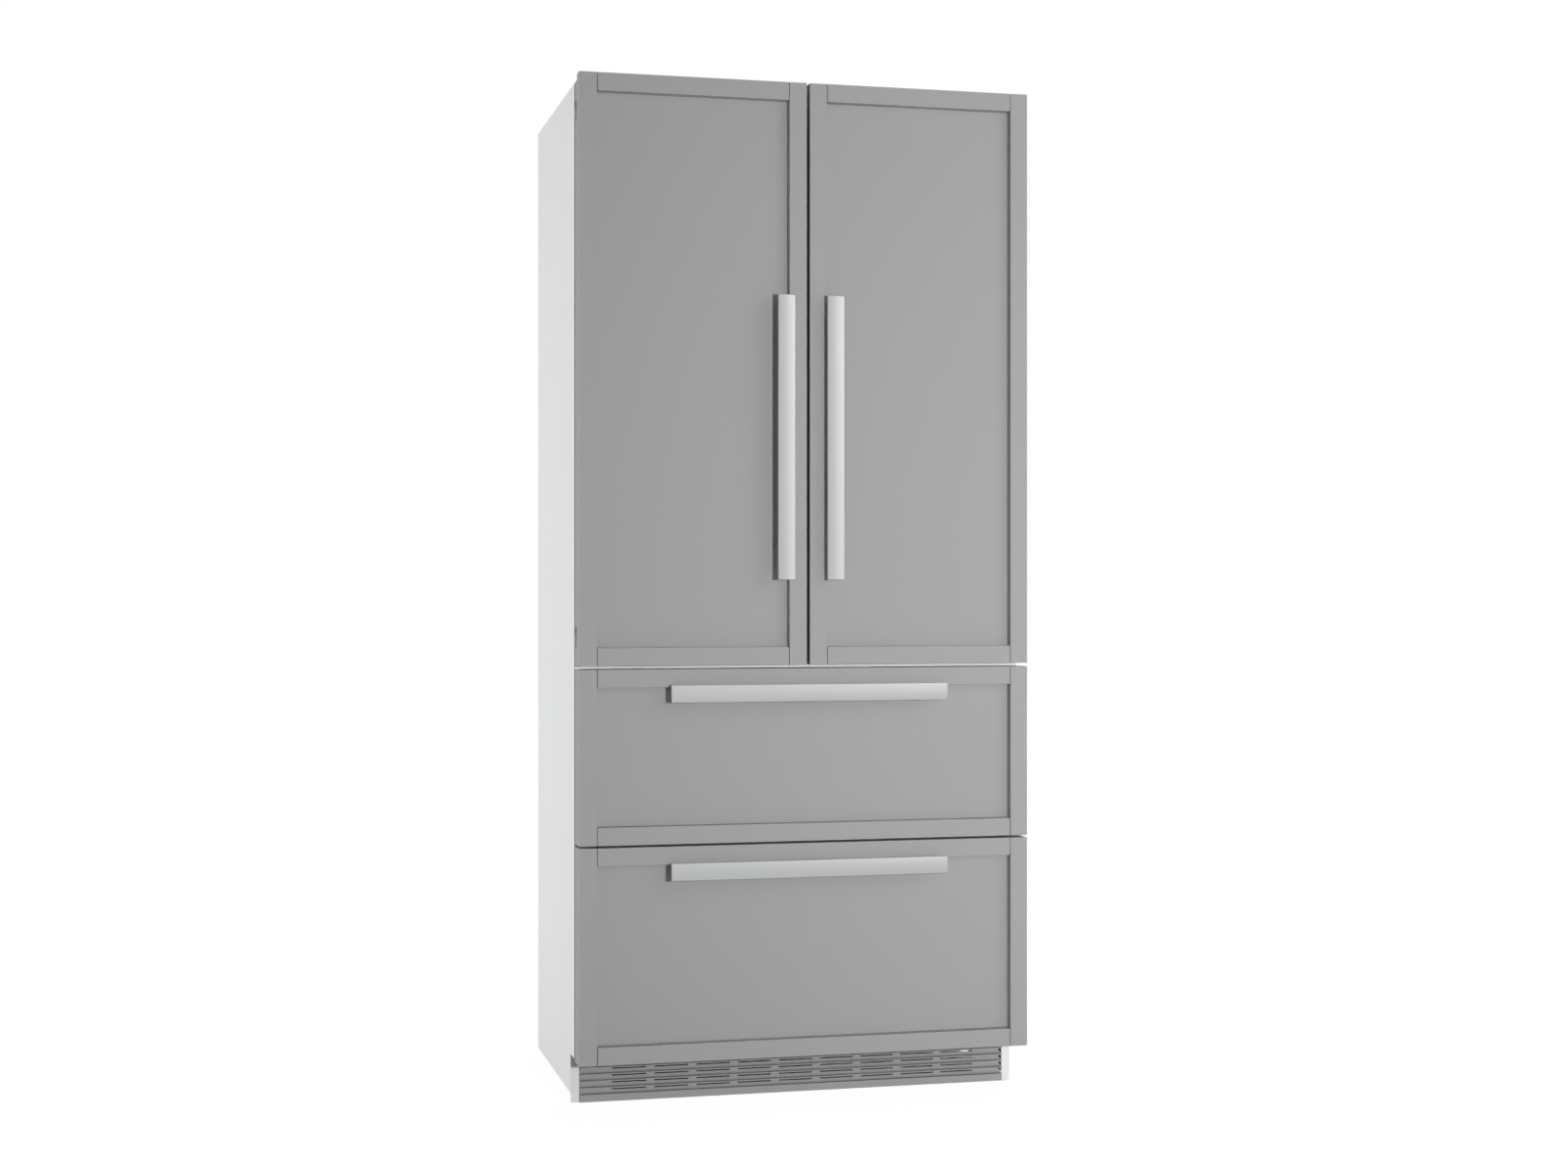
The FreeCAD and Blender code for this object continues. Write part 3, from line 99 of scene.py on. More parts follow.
def surface(name, colour, rough=0.5, mottle=0.05, mottle_scale=4.0, grain=0.0004, grain_scale=700.0,
            stretch=(1, 1, 1), rough_spread=0.06, edge_wear_and_highlight=0.0, **sockets):
    """Noise-driven finish: mottling, grain in relief, uneven gloss, paler edges (scuffs; on grille lips
    also painted highlight).
    """
    material = bpy.data.materials.new(name)
    material.use_nodes = True
    tree = material.node_tree
    new, link = tree.nodes.new, tree.links.new
    shader = tree.nodes["Principled BSDF"]
    coords = new("ShaderNodeTexCoord")
    mapping = new("ShaderNodeMapping")
    mapping.inputs["Scale"].default_value = stretch
    link(coords.outputs["Object"], mapping.inputs["Vector"])

    cloud = noise(tree, mapping.outputs["Vector"], mottle_scale, 5.0)
    fine = noise(tree, mapping.outputs["Vector"], grain_scale, 2.0)

    blend = new("ShaderNodeMix")
    blend.data_type = "RGBA"
    blend.inputs[COLOUR_A].default_value = scaled(colour, 1 - mottle)
    blend.inputs[COLOUR_B].default_value = scaled(colour, 1 + mottle)
    link(cloud, blend.inputs[0])
    colour_out = blend.outputs[COLOUR_OUT]
    # paler convex edges: scuffing, and on the toe grille also a painted highlight on the louvre lips
    if edge_wear_and_highlight:
        edges = new("ShaderNodeNewGeometry").outputs["Pointiness"]
        scuffed_and_highlit_edges = new("ShaderNodeMix")
        scuffed_and_highlit_edges.data_type = "RGBA"
        scuffed_and_highlit_edges.inputs[COLOUR_B].default_value = scaled(colour, 1.35)
        link(map_range(tree, edges, 0.52, 0.62, to_max=edge_wear_and_highlight), scuffed_and_highlit_edges.inputs[0])
        link(colour_out, scuffed_and_highlit_edges.inputs[COLOUR_A])
        colour_out = scuffed_and_highlit_edges.outputs[COLOUR_OUT]
    link(colour_out, shader.inputs["Base Color"])

    gloss = map_range(tree, cloud, to_min=max(0.02, rough - rough_spread),
                      to_max=min(1.0, rough + rough_spread))
    link(gloss, shader.inputs["Roughness"])

    relief = new("ShaderNodeBump")
    relief.inputs["Strength"].default_value = 0.6
    relief.inputs["Distance"].default_value = grain
    link(fine, relief.inputs["Height"])
    link(relief.outputs["Normal"], shader.inputs["Normal"])
    for socket, value in sockets.items():
        shader.inputs[socket.replace("_", " ")].default_value = value
    return material


def clear_plastic(name, colour, rough, clarity):
    """Translucent moulded plastic with faint clouding."""
    return surface(name, colour, rough=rough, mottle=0.03, mottle_scale=9.0, grain=0.0001,
                   grain_scale=260.0, rough_spread=0.04, Transmission_Weight=clarity, IOR=1.49)


lacquer = surface("satin_lacquer", tone(161), rough=0.62, mottle=0.012, mottle_scale=2.2, grain=0.00006,
                  grain_scale=420.0, rough_spread=0.05, Specular_IOR_Level=0.22)
white_paint = surface("white_powder_coat", tone(236, 237, 238), mottle=0.008, mottle_scale=1.6,
                      grain=0.0001, grain_scale=900.0, Specular_IOR_Level=0.3)
body_paint = surface("grey_body_paint", tone(150), rough=0.55, mottle=0.015, grain=0.00008,
                     grain_scale=800.0, Specular_IOR_Level=0.25)
galvanised = surface("galvanised_sheet", tone(176, 180, 184), rough=0.38, mottle=0.16, mottle_scale=45.0,
                     grain=0.00005, grain_scale=160.0, rough_spread=0.14, Metallic=0.85)
# The base frame's near-black paint is painted shade: it makes the plinth interior, seen through the
# grille slots and the voids at its right end, read black
painted_shade_frame = surface("painted_shade_frame_dark", tone(46), rough=0.6, mottle=0.06, mottle_scale=9.0,
                      grain=0.0001)
foam_fill = surface("foam_core", tone(222, 204, 150), rough=0.95, mottle=0.1, mottle_scale=60.0,
                    grain=0.0012, grain_scale=420.0)
rubber = surface("gasket_rubber", tone(120), rough=0.62, mottle=0.03, mottle_scale=20.0, grain=0.00005,
                 grain_scale=1200.0, Specular_IOR_Level=0.35)
# the grille's paler convex edges are partly scuffing and partly a painted highlight that lightens the
# louvre lips
grille_plastic = surface("grille_plastic", tone(160), rough=0.6, mottle=0.02, mottle_scale=8.0,
                         grain=0.00012, grain_scale=1300.0, edge_wear_and_highlight=0.25, Specular_IOR_Level=0.1)
liner_plastic = surface("liner_plastic", tone(222, 224, 225), rough=0.4, mottle=0.01, mottle_scale=2.5,
                        grain=0.00005, grain_scale=500.0, Specular_IOR_Level=0.45)
steel = surface("zinc_steel", tone(186, 188, 190), rough=0.3, mottle=0.06, mottle_scale=30.0,
                grain=0.00004, grain_scale=500.0, rough_spread=0.1, edge_wear_and_highlight=0.2, Metallic=0.95)
black_can = surface("black_can_paint", tone(34), rough=0.42, mottle=0.12, mottle_scale=14.0,
                    grain=0.00025, grain_scale=330.0, edge_wear_and_highlight=0.5)
coil_metal = surface("coil_aluminium", tone(196, 198, 200), rough=0.36, mottle=0.07, mottle_scale=90.0,
                     grain=0.00006, grain_scale=900.0, Metallic=0.9)
copper = surface("copper_tube", tone(190, 118, 78), rough=0.3, mottle=0.12, mottle_scale=40.0,
                 grain=0.00003, grain_scale=700.0, rough_spread=0.12, Metallic=1.0)
fan_plastic = surface("fan_plastic", tone(44), rough=0.5, mottle=0.04, mottle_scale=12.0, grain=0.00008,
                      grain_scale=1500.0, edge_wear_and_highlight=0.3)
foot_plastic = surface("foot_plastic", tone(38), rough=0.6, mottle=0.05, mottle_scale=18.0,
                       grain=0.0001, grain_scale=1400.0, edge_wear_and_highlight=0.35)


def brushed(name, stretch):
    """Brushed aluminium: long fine scratches in colour, gloss and relief."""
    return surface(name, tone(181, 182, 183), rough=0.42, mottle=0.05, mottle_scale=9.0, grain=0.00006,
                   grain_scale=420.0, stretch=stretch, rough_spread=0.06, Metallic=1.0)


brushed_upright = brushed("brushed_aluminium_upright", (6.0, 6.0, 0.12))
brushed_level = brushed("brushed_aluminium_level", (0.12, 6.0, 6.0))
bin_plastic = clear_plastic("bin_clear_plastic", tone(233, 240, 243), 0.12, 0.72)
frosted_plastic = clear_plastic("bin_frosted_plastic", tone(236, 240, 242), 0.32, 0.4)
shelf_pane = clear_plastic("shelf_glass_pane", tone(214, 238, 229), 0.04, 0.94)

LOOKS = (
    (white_paint, "outer_wrap plinth_brackets cross_rails"),
    (galvanised, "back_panel machine_cover fixing_brackets"),
    (painted_shade_frame, "base_frame"),
    (foam_fill, "cabinet_foam"),
    (grille_plastic, "toe_grille"),
    (liner_plastic, "fridge_liner drawer_liner freezer_liner duct_cover ceiling_console"
                    " evaporator_cover mullion_flap middle_drawer_bin freezer_drawer_bin"),
    (shelf_pane, "glass_shelves"),
    (steel, "outer_runners door_hinges"),
    (black_can, "compressor"),
    (coil_metal, "condenser evaporator"),
    (fan_plastic, "fan_shroud condenser_fan evaporator_fan"),
    (frosted_plastic, "crisper_left crisper_right freezer_tray"),
    (bin_plastic, "left_door_bins right_door_bins"),
)
node_looks = {node: look for look, names in LOOKS for node in names.split()}
part_looks = {
    "front": lacquer, "shell": body_paint, "liner": liner_plastic, "gasket": rubber,
    "inner_runners": steel, "middle_runners": steel, "foot": foot_plastic, "roller": foot_plastic,
}


def look_of(name):
    """Look of a CAD node, by its name or by what the name ends with."""
    if name in node_looks:
        return node_looks[name]
    if name.endswith("_handle"):
        return brushed_upright if "door" in name else brushed_level
    return next(look for ending, look in part_looks.items() if name.endswith(ending))


for name, node in nodes.items():
    node.data.materials.clear()
    node.data.materials.append(look_of(name))


# ---------------------------------------------------------------- mesh helpers
def extent(node):
    """x0, x1, y0, y1, z0, z1 of a CAD node."""
    lo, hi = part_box(node)
    return lo.x, hi.x, lo.y, hi.y, lo.z, hi.z


def add_box(mesh, x0, x1, y0, y1, z0, z1):
    corners = [mesh.verts.new((x, y, z)) for x in (x0, x1) for y in (y0, y1) for z in (z0, z1)]
    sides = ((0, 1, 3, 2), (4, 6, 7, 5), (0, 4, 5, 1), (2, 3, 7, 6), (0, 2, 6, 4), (1, 5, 7, 3))
    for a, b, c, d in sides:
        mesh.faces.new((corners[a], corners[b], corners[c], corners[d]))


def add_prism(mesh, outline, start, end, place):
    """Extrudes a closed outline of (a, b) points; place(a, b, t) gives the point in space."""
    rings = [[mesh.verts.new(place(a, b, t)) for a, b in outline] for t in (start, end)]
    count = len(outline)
    for i in range(count):
        j = (i + 1) % count
        mesh.faces.new((rings[0][i], rings[0][j], rings[1][j], rings[1][i]))
    mesh.faces.new(rings[0][::-1])
    mesh.faces.new(rings[1])


def circle(radius, steps):
    """Points (a, b) round a circle."""
    turns = [math.tau * i / steps for i in range(steps)]
    return [(radius * math.cos(turn), radius * math.sin(turn)) for turn in turns]


def add_turned(mesh, profile, place, steps=40):
    """Turns a profile of (radius, height) points round an axis; place(a, b, h) gives the point."""
    rings = []
    for r, h in profile:
        points = [(0.0, 0.0)] if r < 1e-7 else circle(r, steps)
        rings.append([mesh.verts.new(place(a, b, h)) for a, b in points])
    for low, high in zip(rings, rings[1:]):
        for i in range(steps):
            j = (i + 1) % steps
            if len(low) == 1 and len(high) == 1:
                continue
            if len(low) == 1:
                mesh.faces.new((low[0], high[i], high[j]))
            elif len(high) == 1:
                mesh.faces.new((low[i], low[j], high[0]))
            else:
                mesh.faces.new((low[i], low[j], high[j], high[i]))


def piece(name, mesh, body, look, replaced=(), bevel=0.0, segments=3, smooth_angle=40.0):
    """Finishes a mesh as an object that rides on a CAD body."""
    bmesh.ops.recalc_face_normals(mesh, faces=mesh.faces)
    data = bpy.data.meshes.new(name)
    mesh.to_mesh(data)
    mesh.free()
    made = bpy.data.objects.new(name, data)
    scene.collection.objects.link(made)
    data.materials.append(look)
    if bevel:
        rounding = made.modifiers.new("rounded_edges", "BEVEL")
        rounding.width = bevel
        rounding.segments = segments
        rounding.limit_method = "ANGLE"
        rounding.angle_limit = math.radians(32)
    for polygon in data.polygons:
        polygon.use_smooth = True
    data.set_sharp_from_angle(angle=math.radians(smooth_angle))
    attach(made, body)
    if replaced:
        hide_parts(*replaced)
    return made


# ---------------------------------------------------------------- framed fronts
FRAME_WIDTH, RECESS, JOINT = 0.035, 0.020, 0.001


def framed_front(name, body):
    """Two stiles and two rails with a fine open joint, round a set-back centre panel."""
    x0, x1, y0, y1, z0, z1 = extent(name)
    xi0, xi1, zi0, zi1 = x0 + FRAME_WIDTH, x1 - FRAME_WIDTH, z0 + FRAME_WIDTH, z1 - FRAME_WIDTH
    mesh = bmesh.new()
    add_box(mesh, x0, xi0, y0, y1, z0, z1)
    add_box(mesh, xi1, x1, y0, y1, z0, z1)
    for a, b in ((z0, zi0), (zi1, z1)):
        add_box(mesh, xi0 + JOINT, xi1 - JOINT, y0 + 0.00005, y1, a, b)
        add_box(mesh, xi0, xi1, y0 + 0.006, y1 - 0.001, a + 0.0006, b - 0.0006)
    add_box(mesh, xi0, xi1, y0 + RECESS, y1 - 0.0005, zi0, zi1)
    piece(name + "_boards", mesh, body, lacquer, [name], bevel=0.0006, segments=2)


for leaf in LEAVES:
    framed_front(leaf + "_front", leaf)


# ---------------------------------------------------------------- handles
BAR_WIDTH, BAR_DEPTH, BAR_CROWN = 0.034, 0.010, 0.0016
POST_REACH = 0.2           # from the middle of a bar to its posts


def crowned_outline(width, depth, crown, steps=12):
    """Cross-section of a bar: flat back, short sides, shallow arc in front (the front is at b = 0)."""
    points = [(-width / 2, depth), (width / 2, depth)]
    for i in range(steps + 1):
        s = 1 - 2 * i / steps
        points.append((s * width / 2, crown * s * s))
    return points


def bar_handle(name, body, upright):
    """Crowned bar on two turned posts that stand on the set-back panel."""
    x0, x1, y0, y1, z0, z1 = extent(name)
    mid_x, mid_z = (x0 + x1) / 2, (z0 + z1) / 2
    outline = crowned_outline(BAR_WIDTH, BAR_DEPTH, BAR_CROWN)
    mesh = bmesh.new()
    if upright:
        look = brushed_upright
        add_prism(mesh, outline, z0, z1, lambda a, b, t: (mid_x + a, y0 + b, t))
        posts = [(mid_x, mid_z + s * POST_REACH) for s in (-1, 1)]
    else:
        look = brushed_level
        add_prism(mesh, outline, x0, x1, lambda a, b, t: (t, y0 + b, mid_z + a))
        posts = [(s * POST_REACH, mid_z) for s in (-1, 1)]
    piece(name + "_bar", mesh, body, look, [name], bevel=0.0011)
    panel, back = FRONT_Y + RECESS, y0 + 0.0101
    profile = [(0.0, panel), (0.0062, panel), (0.0062, panel - 0.0010), (0.0056, panel - 0.0016),
               (0.0060, panel - 0.0022), (0.0060, back + 0.0010), (0.0056, back), (0.0, back)]
    mesh = bmesh.new()
    for px, pz in posts:
        add_turned(mesh, profile, lambda a, b, h: (px + a, h, pz + b))
    piece(name + "_posts", mesh, body, brushed_level)


for leaf in LEAVES:
    bar_handle(leaf + "_handle", leaf, "door" in leaf)


# ---------------------------------------------------------------- more mesh helpers
def rounded_loop(x0, x1, y0, y1, radius, steps=6):
    """Points of a rounded rectangle, anticlockwise."""
    points = []
    corners = ((x1 - radius, y1 - radius, 0), (x0 + radius, y1 - radius, 90),
               (x0 + radius, y0 + radius, 180), (x1 - radius, y0 + radius, 270))
    for cx, cy, start in corners:
        for i in range(steps + 1):
            angle = math.radians(start + 90 * i / steps)
            points.append((cx + radius * math.cos(angle), cy + radius * math.sin(angle)))
    return points


def add_loft(mesh, loops, close_start=True, close_end=True):
    """Skins closed loops of points that all have the same count."""
    rings = [[mesh.verts.new(p) for p in loop] for loop in loops]
    count = len(rings[0])
    for low, high in zip(rings, rings[1:]):
        for i in range(count):
            j = (i + 1) % count
            mesh.faces.new((low[i], low[j], high[j], high[i]))
    if close_start:
        mesh.faces.new(rings[0][::-1])
    if close_end:
        mesh.faces.new(rings[-1])


def add_frame_sweep(mesh, outline, x0, x1, z0, z1):
    """Sweeps a closed outline of (outwards, y) points round a rectangle in the XZ plane, mitred."""
    rings = [[
        mesh.verts.new((x0 - u, y, z0 - u)), mesh.verts.new((x1 + u, y, z0 - u)),
        mesh.verts.new((x1 + u, y, z1 + u)), mesh.verts.new((x0 - u, y, z1 + u)),
    ] for u, y in outline]
    for k in range(len(rings)):
        low, high = rings[k], rings[(k + 1) % len(rings)]
        for i in range(4):
            j = (i + 1) % 4
            mesh.faces.new((low[i], low[j], high[j], high[i]))


def tube(name, points, radius, body, look):
    """Rigid bent pipe through the given corner points."""
    curve = bpy.data.curves.new(name, "CURVE")
    curve.dimensions = "3D"
    curve.bevel_depth = radius
    curve.bevel_resolution = 5
    curve.resolution_u = 10
    curve.use_fill_caps = True
    spline = curve.splines.new("NURBS")
    spline.points.add(len(points) - 1)
    for point, place in zip(spline.points, points):
        point.co = (*place, 1)
    spline.order_u = 3
    spline.use_endpoint_u = True
    made = bpy.data.objects.new(name, curve)
    scene.collection.objects.link(made)
    curve.materials.append(look)
    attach(made, body)


def add_screw(mesh, place):
    """Domed screw head with a six-lobed socket; place(a, b, h) has h pointing out of the surface."""
    r, steps = 0.0042, 24
    rings = []
    for radius, h, lobes in ((r, 0.0, 0), (r, 0.0006, 0), (r * 0.86, 0.0016, 0), (r * 0.6, 0.0021, 0),
                             (r * 0.46, 0.0021, 1), (r * 0.42, 0.0008, 1)):
        ring = []
        for i in range(steps):
            angle = math.tau * i / steps
            rr = radius * (1 + (0.14 * math.cos(6 * angle) if lobes else 0))
            ring.append(place(rr * math.cos(angle), rr * math.sin(angle), h))
        rings.append(ring)
    add_loft(mesh, rings)


def screws(name, points, body):
    """One piece with a screw head at each point, facing the rear."""
    mesh = bmesh.new()
    for x, y, z in points:
        add_screw(mesh, lambda a, b, h: (x + a, y + h, z + b))
    piece(name, mesh, body, steel, smooth_angle=50)


# ---------------------------------------------------------------- door and drawer seals
def seal(name, body):
    """Magnetic seal: clipped foot, folded bellows and a flat magnet pocket."""
    x0, x1, y0, y1, z0, z1 = extent(name)
    band, depth = 0.014, y1 - y0
    outline = [
        (0.0020, y0), (0.0120, y0), (0.0120, y0 + 0.0009), (0.0095, y0 + 0.0014), (0.0095, y0 + 0.0022),
        (0.0128, y0 + 0.0029), (0.0128, y0 + 0.0033), (0.0100, y0 + 0.0040), (0.0138, y0 + 0.0046),
        (0.0140, y0 + 0.0052), (0.0140, y1 - 0.0006), (0.0134, y1), (0.0008, y1), (0.0, y1 - 0.0006),
        (0.0, y0 + 0.0052), (0.0003, y0 + 0.0046), (0.0040, y0 + 0.0040), (0.0012, y0 + 0.0033),
        (0.0012, y0 + 0.0029), (0.0045, y0 + 0.0022), (0.0045, y0 + 0.0014), (0.0020, y0 + 0.0009),
    ]
    mesh = bmesh.new()
    add_frame_sweep(mesh, outline, x0 + band, x1 - band, z0 + band, z1 - band)
    piece(name + "_bellows", mesh, body, rubber, [name], bevel=0.0002, segments=2)


for leaf in LEAVES:
    seal(leaf + "_gasket", leaf)


# ---------------------------------------------------------------- tubs, bins and trays
def add_tub(mesh, x0, x1, y0, y1, z0, z1, wall=0.0025, draft=0.006, radius=0.02, lip=0.003,
            lip_height=0.006):
    """Moulded tub: drafted walls, rounded corners and foot, and a turned-out lip."""
    foot = 0.010

    def loop(inset, z, r):
        return [(x, y, z) for x, y in rounded_loop(x0 + inset, x1 - inset, y0 + inset, y1 - inset, r)]

    loops = []
    for i in range(5):
        a = math.radians(90 * i / 4)
        loops.append(loop(lip + draft + foot * (1 - math.sin(a)), z0 + foot * (1 - math.cos(a)),
                          max(0.003, radius - foot * (1 - math.sin(a)) * 0.5)))
    loops.append(loop(lip, z1 - lip_height - 0.001, radius))
    loops.append(loop(0.0004, z1 - lip_height, radius + lip))
    loops.append(loop(0.0, z1 - lip_height + 0.0008, radius + lip))
    loops.append(loop(0.0, z1 - 0.0012, radius + lip))
    loops.append(loop(0.0012, z1, radius + lip - 0.001))
    loops.append(loop(lip + wall - 0.0012, z1, radius - wall + 0.001))
    loops.append(loop(lip + wall, z1 - 0.0012, radius - wall))
    for i in range(5):
        a = math.radians(90 * (4 - i) / 4)
        f = foot - wall * 0.6
        loops.append(loop(lip + draft + wall + f * (1 - math.sin(a)), z0 + wall + f * (1 - math.cos(a)),
                          max(0.002, radius - wall - f * (1 - math.sin(a)) * 0.5)))
    add_loft(mesh, loops)


def tub(name, node, body, look, **shape):
    """Tub that stands in for a CAD node and fills its box."""
    mesh = bmesh.new()
    add_tub(mesh, *extent(node), **shape)
    piece(name, mesh, body, look, [node], smooth_angle=60)


for side in ("left", "right"):
    tub(side + "_crisper_tub", "crisper_" + side, side + "_crisper", frosted_plastic, wall=0.003,
        draft=0.008, radius=0.03, lip=0.004, lip_height=0.012)
tub("middle_drawer_tub", "middle_drawer_bin", "middle_drawer", liner_plastic, draft=0.010, radius=0.035,
    lip=0.005, lip_height=0.010)
tub("freezer_tray_tub", "freezer_tray", "sliding_tray", frosted_plastic, draft=0.004, radius=0.02,
    lip=0.003)

# ledges that the sliding tray runs on
LEDGE_IN, LEDGE_OUT, LEDGE_LOW, LEDGE_HIGH, LEDGE_END = 0.3675, 0.3775, 0.378, 0.382, 0.024
x0, x1, y0, y1, z0, z1 = extent("freezer_drawer_bin")
mesh = bmesh.new()
add_tub(mesh, x0, x1, y0, y1, z0, z1, draft=0.0002, radius=0.02, lip=0.0002, lip_height=0.010)
for a, b in ((-LEDGE_OUT, -LEDGE_IN), (LEDGE_IN, LEDGE_OUT)):
    add_box(mesh, a, b, y0 + LEDGE_END, y1 - LEDGE_END, LEDGE_LOW, LEDGE_HIGH)
piece("freezer_drawer_tub", mesh, "freezer_drawer", liner_plastic, ["freezer_drawer_bin"],
      bevel=0.0008, segments=2, smooth_angle=60)

BIN_HEIGHTS = (1.125, 1.400, 1.675)
for body in ("left_door", "right_door"):
    x0, x1, y0, y1, z0, z1 = extent(body + "_bins")
    mesh, rail = bmesh.new(), bmesh.new()
    for z in BIN_HEIGHTS:
        add_tub(mesh, x0 + 0.0008, x1 - 0.0008, y0, y1 - 0.001, z, z + 0.088, draft=0.005,
                radius=0.016, lip=0.002, lip_height=0.004)
        add_box(rail, x0 + 0.004, x1 - 0.004, y1 - 0.0035, y1, z + 0.060, z + 0.090)
    piece(body + "_bin_tubs", mesh, body, bin_plastic, [body + "_bins"], smooth_angle=60)
    piece(body + "_bin_rails", rail, body, liner_plastic, bevel=0.0015)


# ---------------------------------------------------------------- shelves
SHELF_HEIGHTS = (1.090, 1.290, 1.500, 1.710)
FRONT_TRIM = [(0.0, -0.008), (0.0015, -0.0098), (0.008, -0.0098), (0.010, -0.0078), (0.010, 0.0),
              (0.012, 0.0), (0.012, 0.0002), (0.003, 0.0002), (0.003, 0.0038), (0.010, 0.0038),
              (0.010, 0.004), (0.0015, 0.004), (0.0, 0.0025)]
REAR_TRIM = [(0.0, 0.0), (0.0, 0.004), (-0.008, 0.004), (-0.008, 0.0038), (-0.002, 0.0038),
             (-0.002, 0.0002), (-0.008, 0.0002), (-0.008, 0.0)]
x0, x1, y0, y1, z0, z1 = extent("glass_shelves")
panes, trims = bmesh.new(), bmesh.new()
for z in SHELF_HEIGHTS:
    add_box(panes, x0 + 0.001, x1 - 0.001, y0 + 0.003, y1 - 0.006, z + 0.0002, z + 0.0038)
    add_prism(trims, FRONT_TRIM, x0 + 0.009, x1 - 0.009, lambda a, b, t: (t, y0 + a, z + b))
    add_prism(trims, REAR_TRIM, x0 + 0.001, x1 - 0.001, lambda a, b, t: (t, y1 + a, z + b))
piece("shelf_panes", panes, "cabinet", shelf_pane, ["glass_shelves"], bevel=0.0006,
      segments=2)
piece("shelf_trims", trims, "cabinet", liner_plastic, bevel=0.0004, segments=2)


# ---------------------------------------------------------------- toe grille
def toe_grille():
    """Saw-tooth louvres with rows of slots over a flat band; the right end is open below each lip."""
    gx0, gx1, gy0, gy1, gz0, gz1 = extent("toe_grille")
    band, pitch, count, depth, lip, sheet = 0.0158, 0.0134, 5, 0.007, 0.0024, 0.0016
    slot_h, slot_w, slot_pitch, columns, notch_w, notch_h = 0.0024, 0.068, 0.0844, 9, 0.009, 0.010
    mesh = bmesh.new()

    def run(outline, a, b):
        add_prism(mesh, outline, a, b, lambda y, z, t: (t, gy0 + y, z))

    run([(0, gz0), (0, band), (depth + sheet, band), (depth + sheet, band - sheet),
         (sheet, band - sheet), (sheet, gz0)], gx0, gx1)
    for i in range(count):
        low, high = band + i * pitch, band + (i + 1) * pitch
        lip_z = high - lip
        tall = lip_z - low
        turn_cut = math.asin(slot_h / tall)

        def face(start, stop, steps):
            """Rolled slat: upright under the lip, curling back towards its lower edge."""
            line = []
            for j in range(steps + 1):
                turn = start + (stop - start) * j / steps
                line.append((depth * (1 - math.cos(turn)), lip_z - tall * math.sin(turn)))
            return line

        lower = face(turn_cut, math.pi / 2, 9)
        upper = face(0.0, turn_cut, 3)
        end = gx1 - notch_w
        run(lower + [(y + sheet, z) for y, z in lower[::-1]], gx0, end)
        corner = []
        for y, z in upper[:-1] + lower:
            across = min(1.0, max(0.02, (lip_z - z) / notch_h)) * notch_w
            corner.append([(x, gy0 + yy, z) for x in (end, end + across) for yy in (y, y + sheet)])
        add_loft(mesh, [[ring[0], ring[1], ring[3], ring[2]] for ring in corner])
        run([(0, lip_z), (0, high), (depth + sheet, high), (depth + sheet, high - lip * 0.5),
             (sheet * 1.5, lip_z)], gx0, gx1)
        edges = [gx0]
        for column in range(columns):
            x = (column - (columns - 1) / 2) * slot_pitch
            edges += [x - slot_w / 2, x + slot_w / 2]
        edges.append(end)
        for a, b in zip(edges[0::2], edges[1::2]):
            run(upper + [(y + sheet, z) for y, z in upper[::-1]], a, b)
    run([(0, band + count * pitch), (0, gz1), (depth, gz1), (depth, gz1 - sheet), (sheet, gz1 - sheet),
         (sheet, band + count * pitch)], gx0, gx1)
    add_box(mesh, gx0, gx0 + sheet, gy0 + depth, gy1, gz0, gz1)
    add_box(mesh, gx1 - sheet, gx1, gy0 + depth + sheet, gy1, gz0, band)
    add_box(mesh, gx0 + 0.02, gx1 - 0.02, gy1 - 0.001, gy1, gz0, band - sheet)
    piece("toe_grille_louvres", mesh, "cabinet", grille_plastic, ["toe_grille"],
          bevel=0.0003, segments=2)


toe_grille()


# ---------------------------------------------------------------- rear sheets
def rear_panel():
    """Thin sheet with pressed stiffening beads, screwed round its edge."""
    x0, x1, y0, y1, z0, z1 = extent("back_panel")
    mesh = bmesh.new()
    add_box(mesh, x0, x1, y0, y1 - 0.0012, z0, z1)
    rows, columns = 4, 2
    cell_w, cell_h = (x1 - x0 - 0.10) / columns, (z1 - z0 - 0.10) / rows
    for i in range(columns):
        for j in range(rows):
            a0, b0 = x0 + 0.05 + i * cell_w + 0.02, z0 + 0.05 + j * cell_h + 0.02
            a1, b1 = a0 + cell_w - 0.04, b0 + cell_h - 0.04
            loops = []
            for inset, y in ((0.0, y1 - 0.0013), (0.0012, y1 - 0.0004), (0.0030, y1), (0.0090, y1),
                             (0.0108, y1 - 0.0004), (0.0120, y1 - 0.0013)):
                bead = rounded_loop(a0 + inset, a1 - inset, b0 + inset, b1 - inset, 0.03 - inset)
                loops.append([(x, y, z) for x, z in bead])
            add_loft(mesh, loops, False, False)
    piece("rear_panel_sheet", mesh, "cabinet", galvanised, ["back_panel"], bevel=0.0003,
          segments=2, smooth_angle=60)
    places = [(x, y1 - 0.0013, z) for x in (x0 + 0.012, x1 - 0.012)
              for z in [z0 + 0.03 + k * (z1 - z0 - 0.06) / 7 for k in range(8)]]
    places += [(x, y1 - 0.0013, z) for z in (z0 + 0.012, z1 - 0.012)
               for x in (-0.27, -0.09, 0.09, 0.27)]
    screws("rear_panel_screws", places, "cabinet")


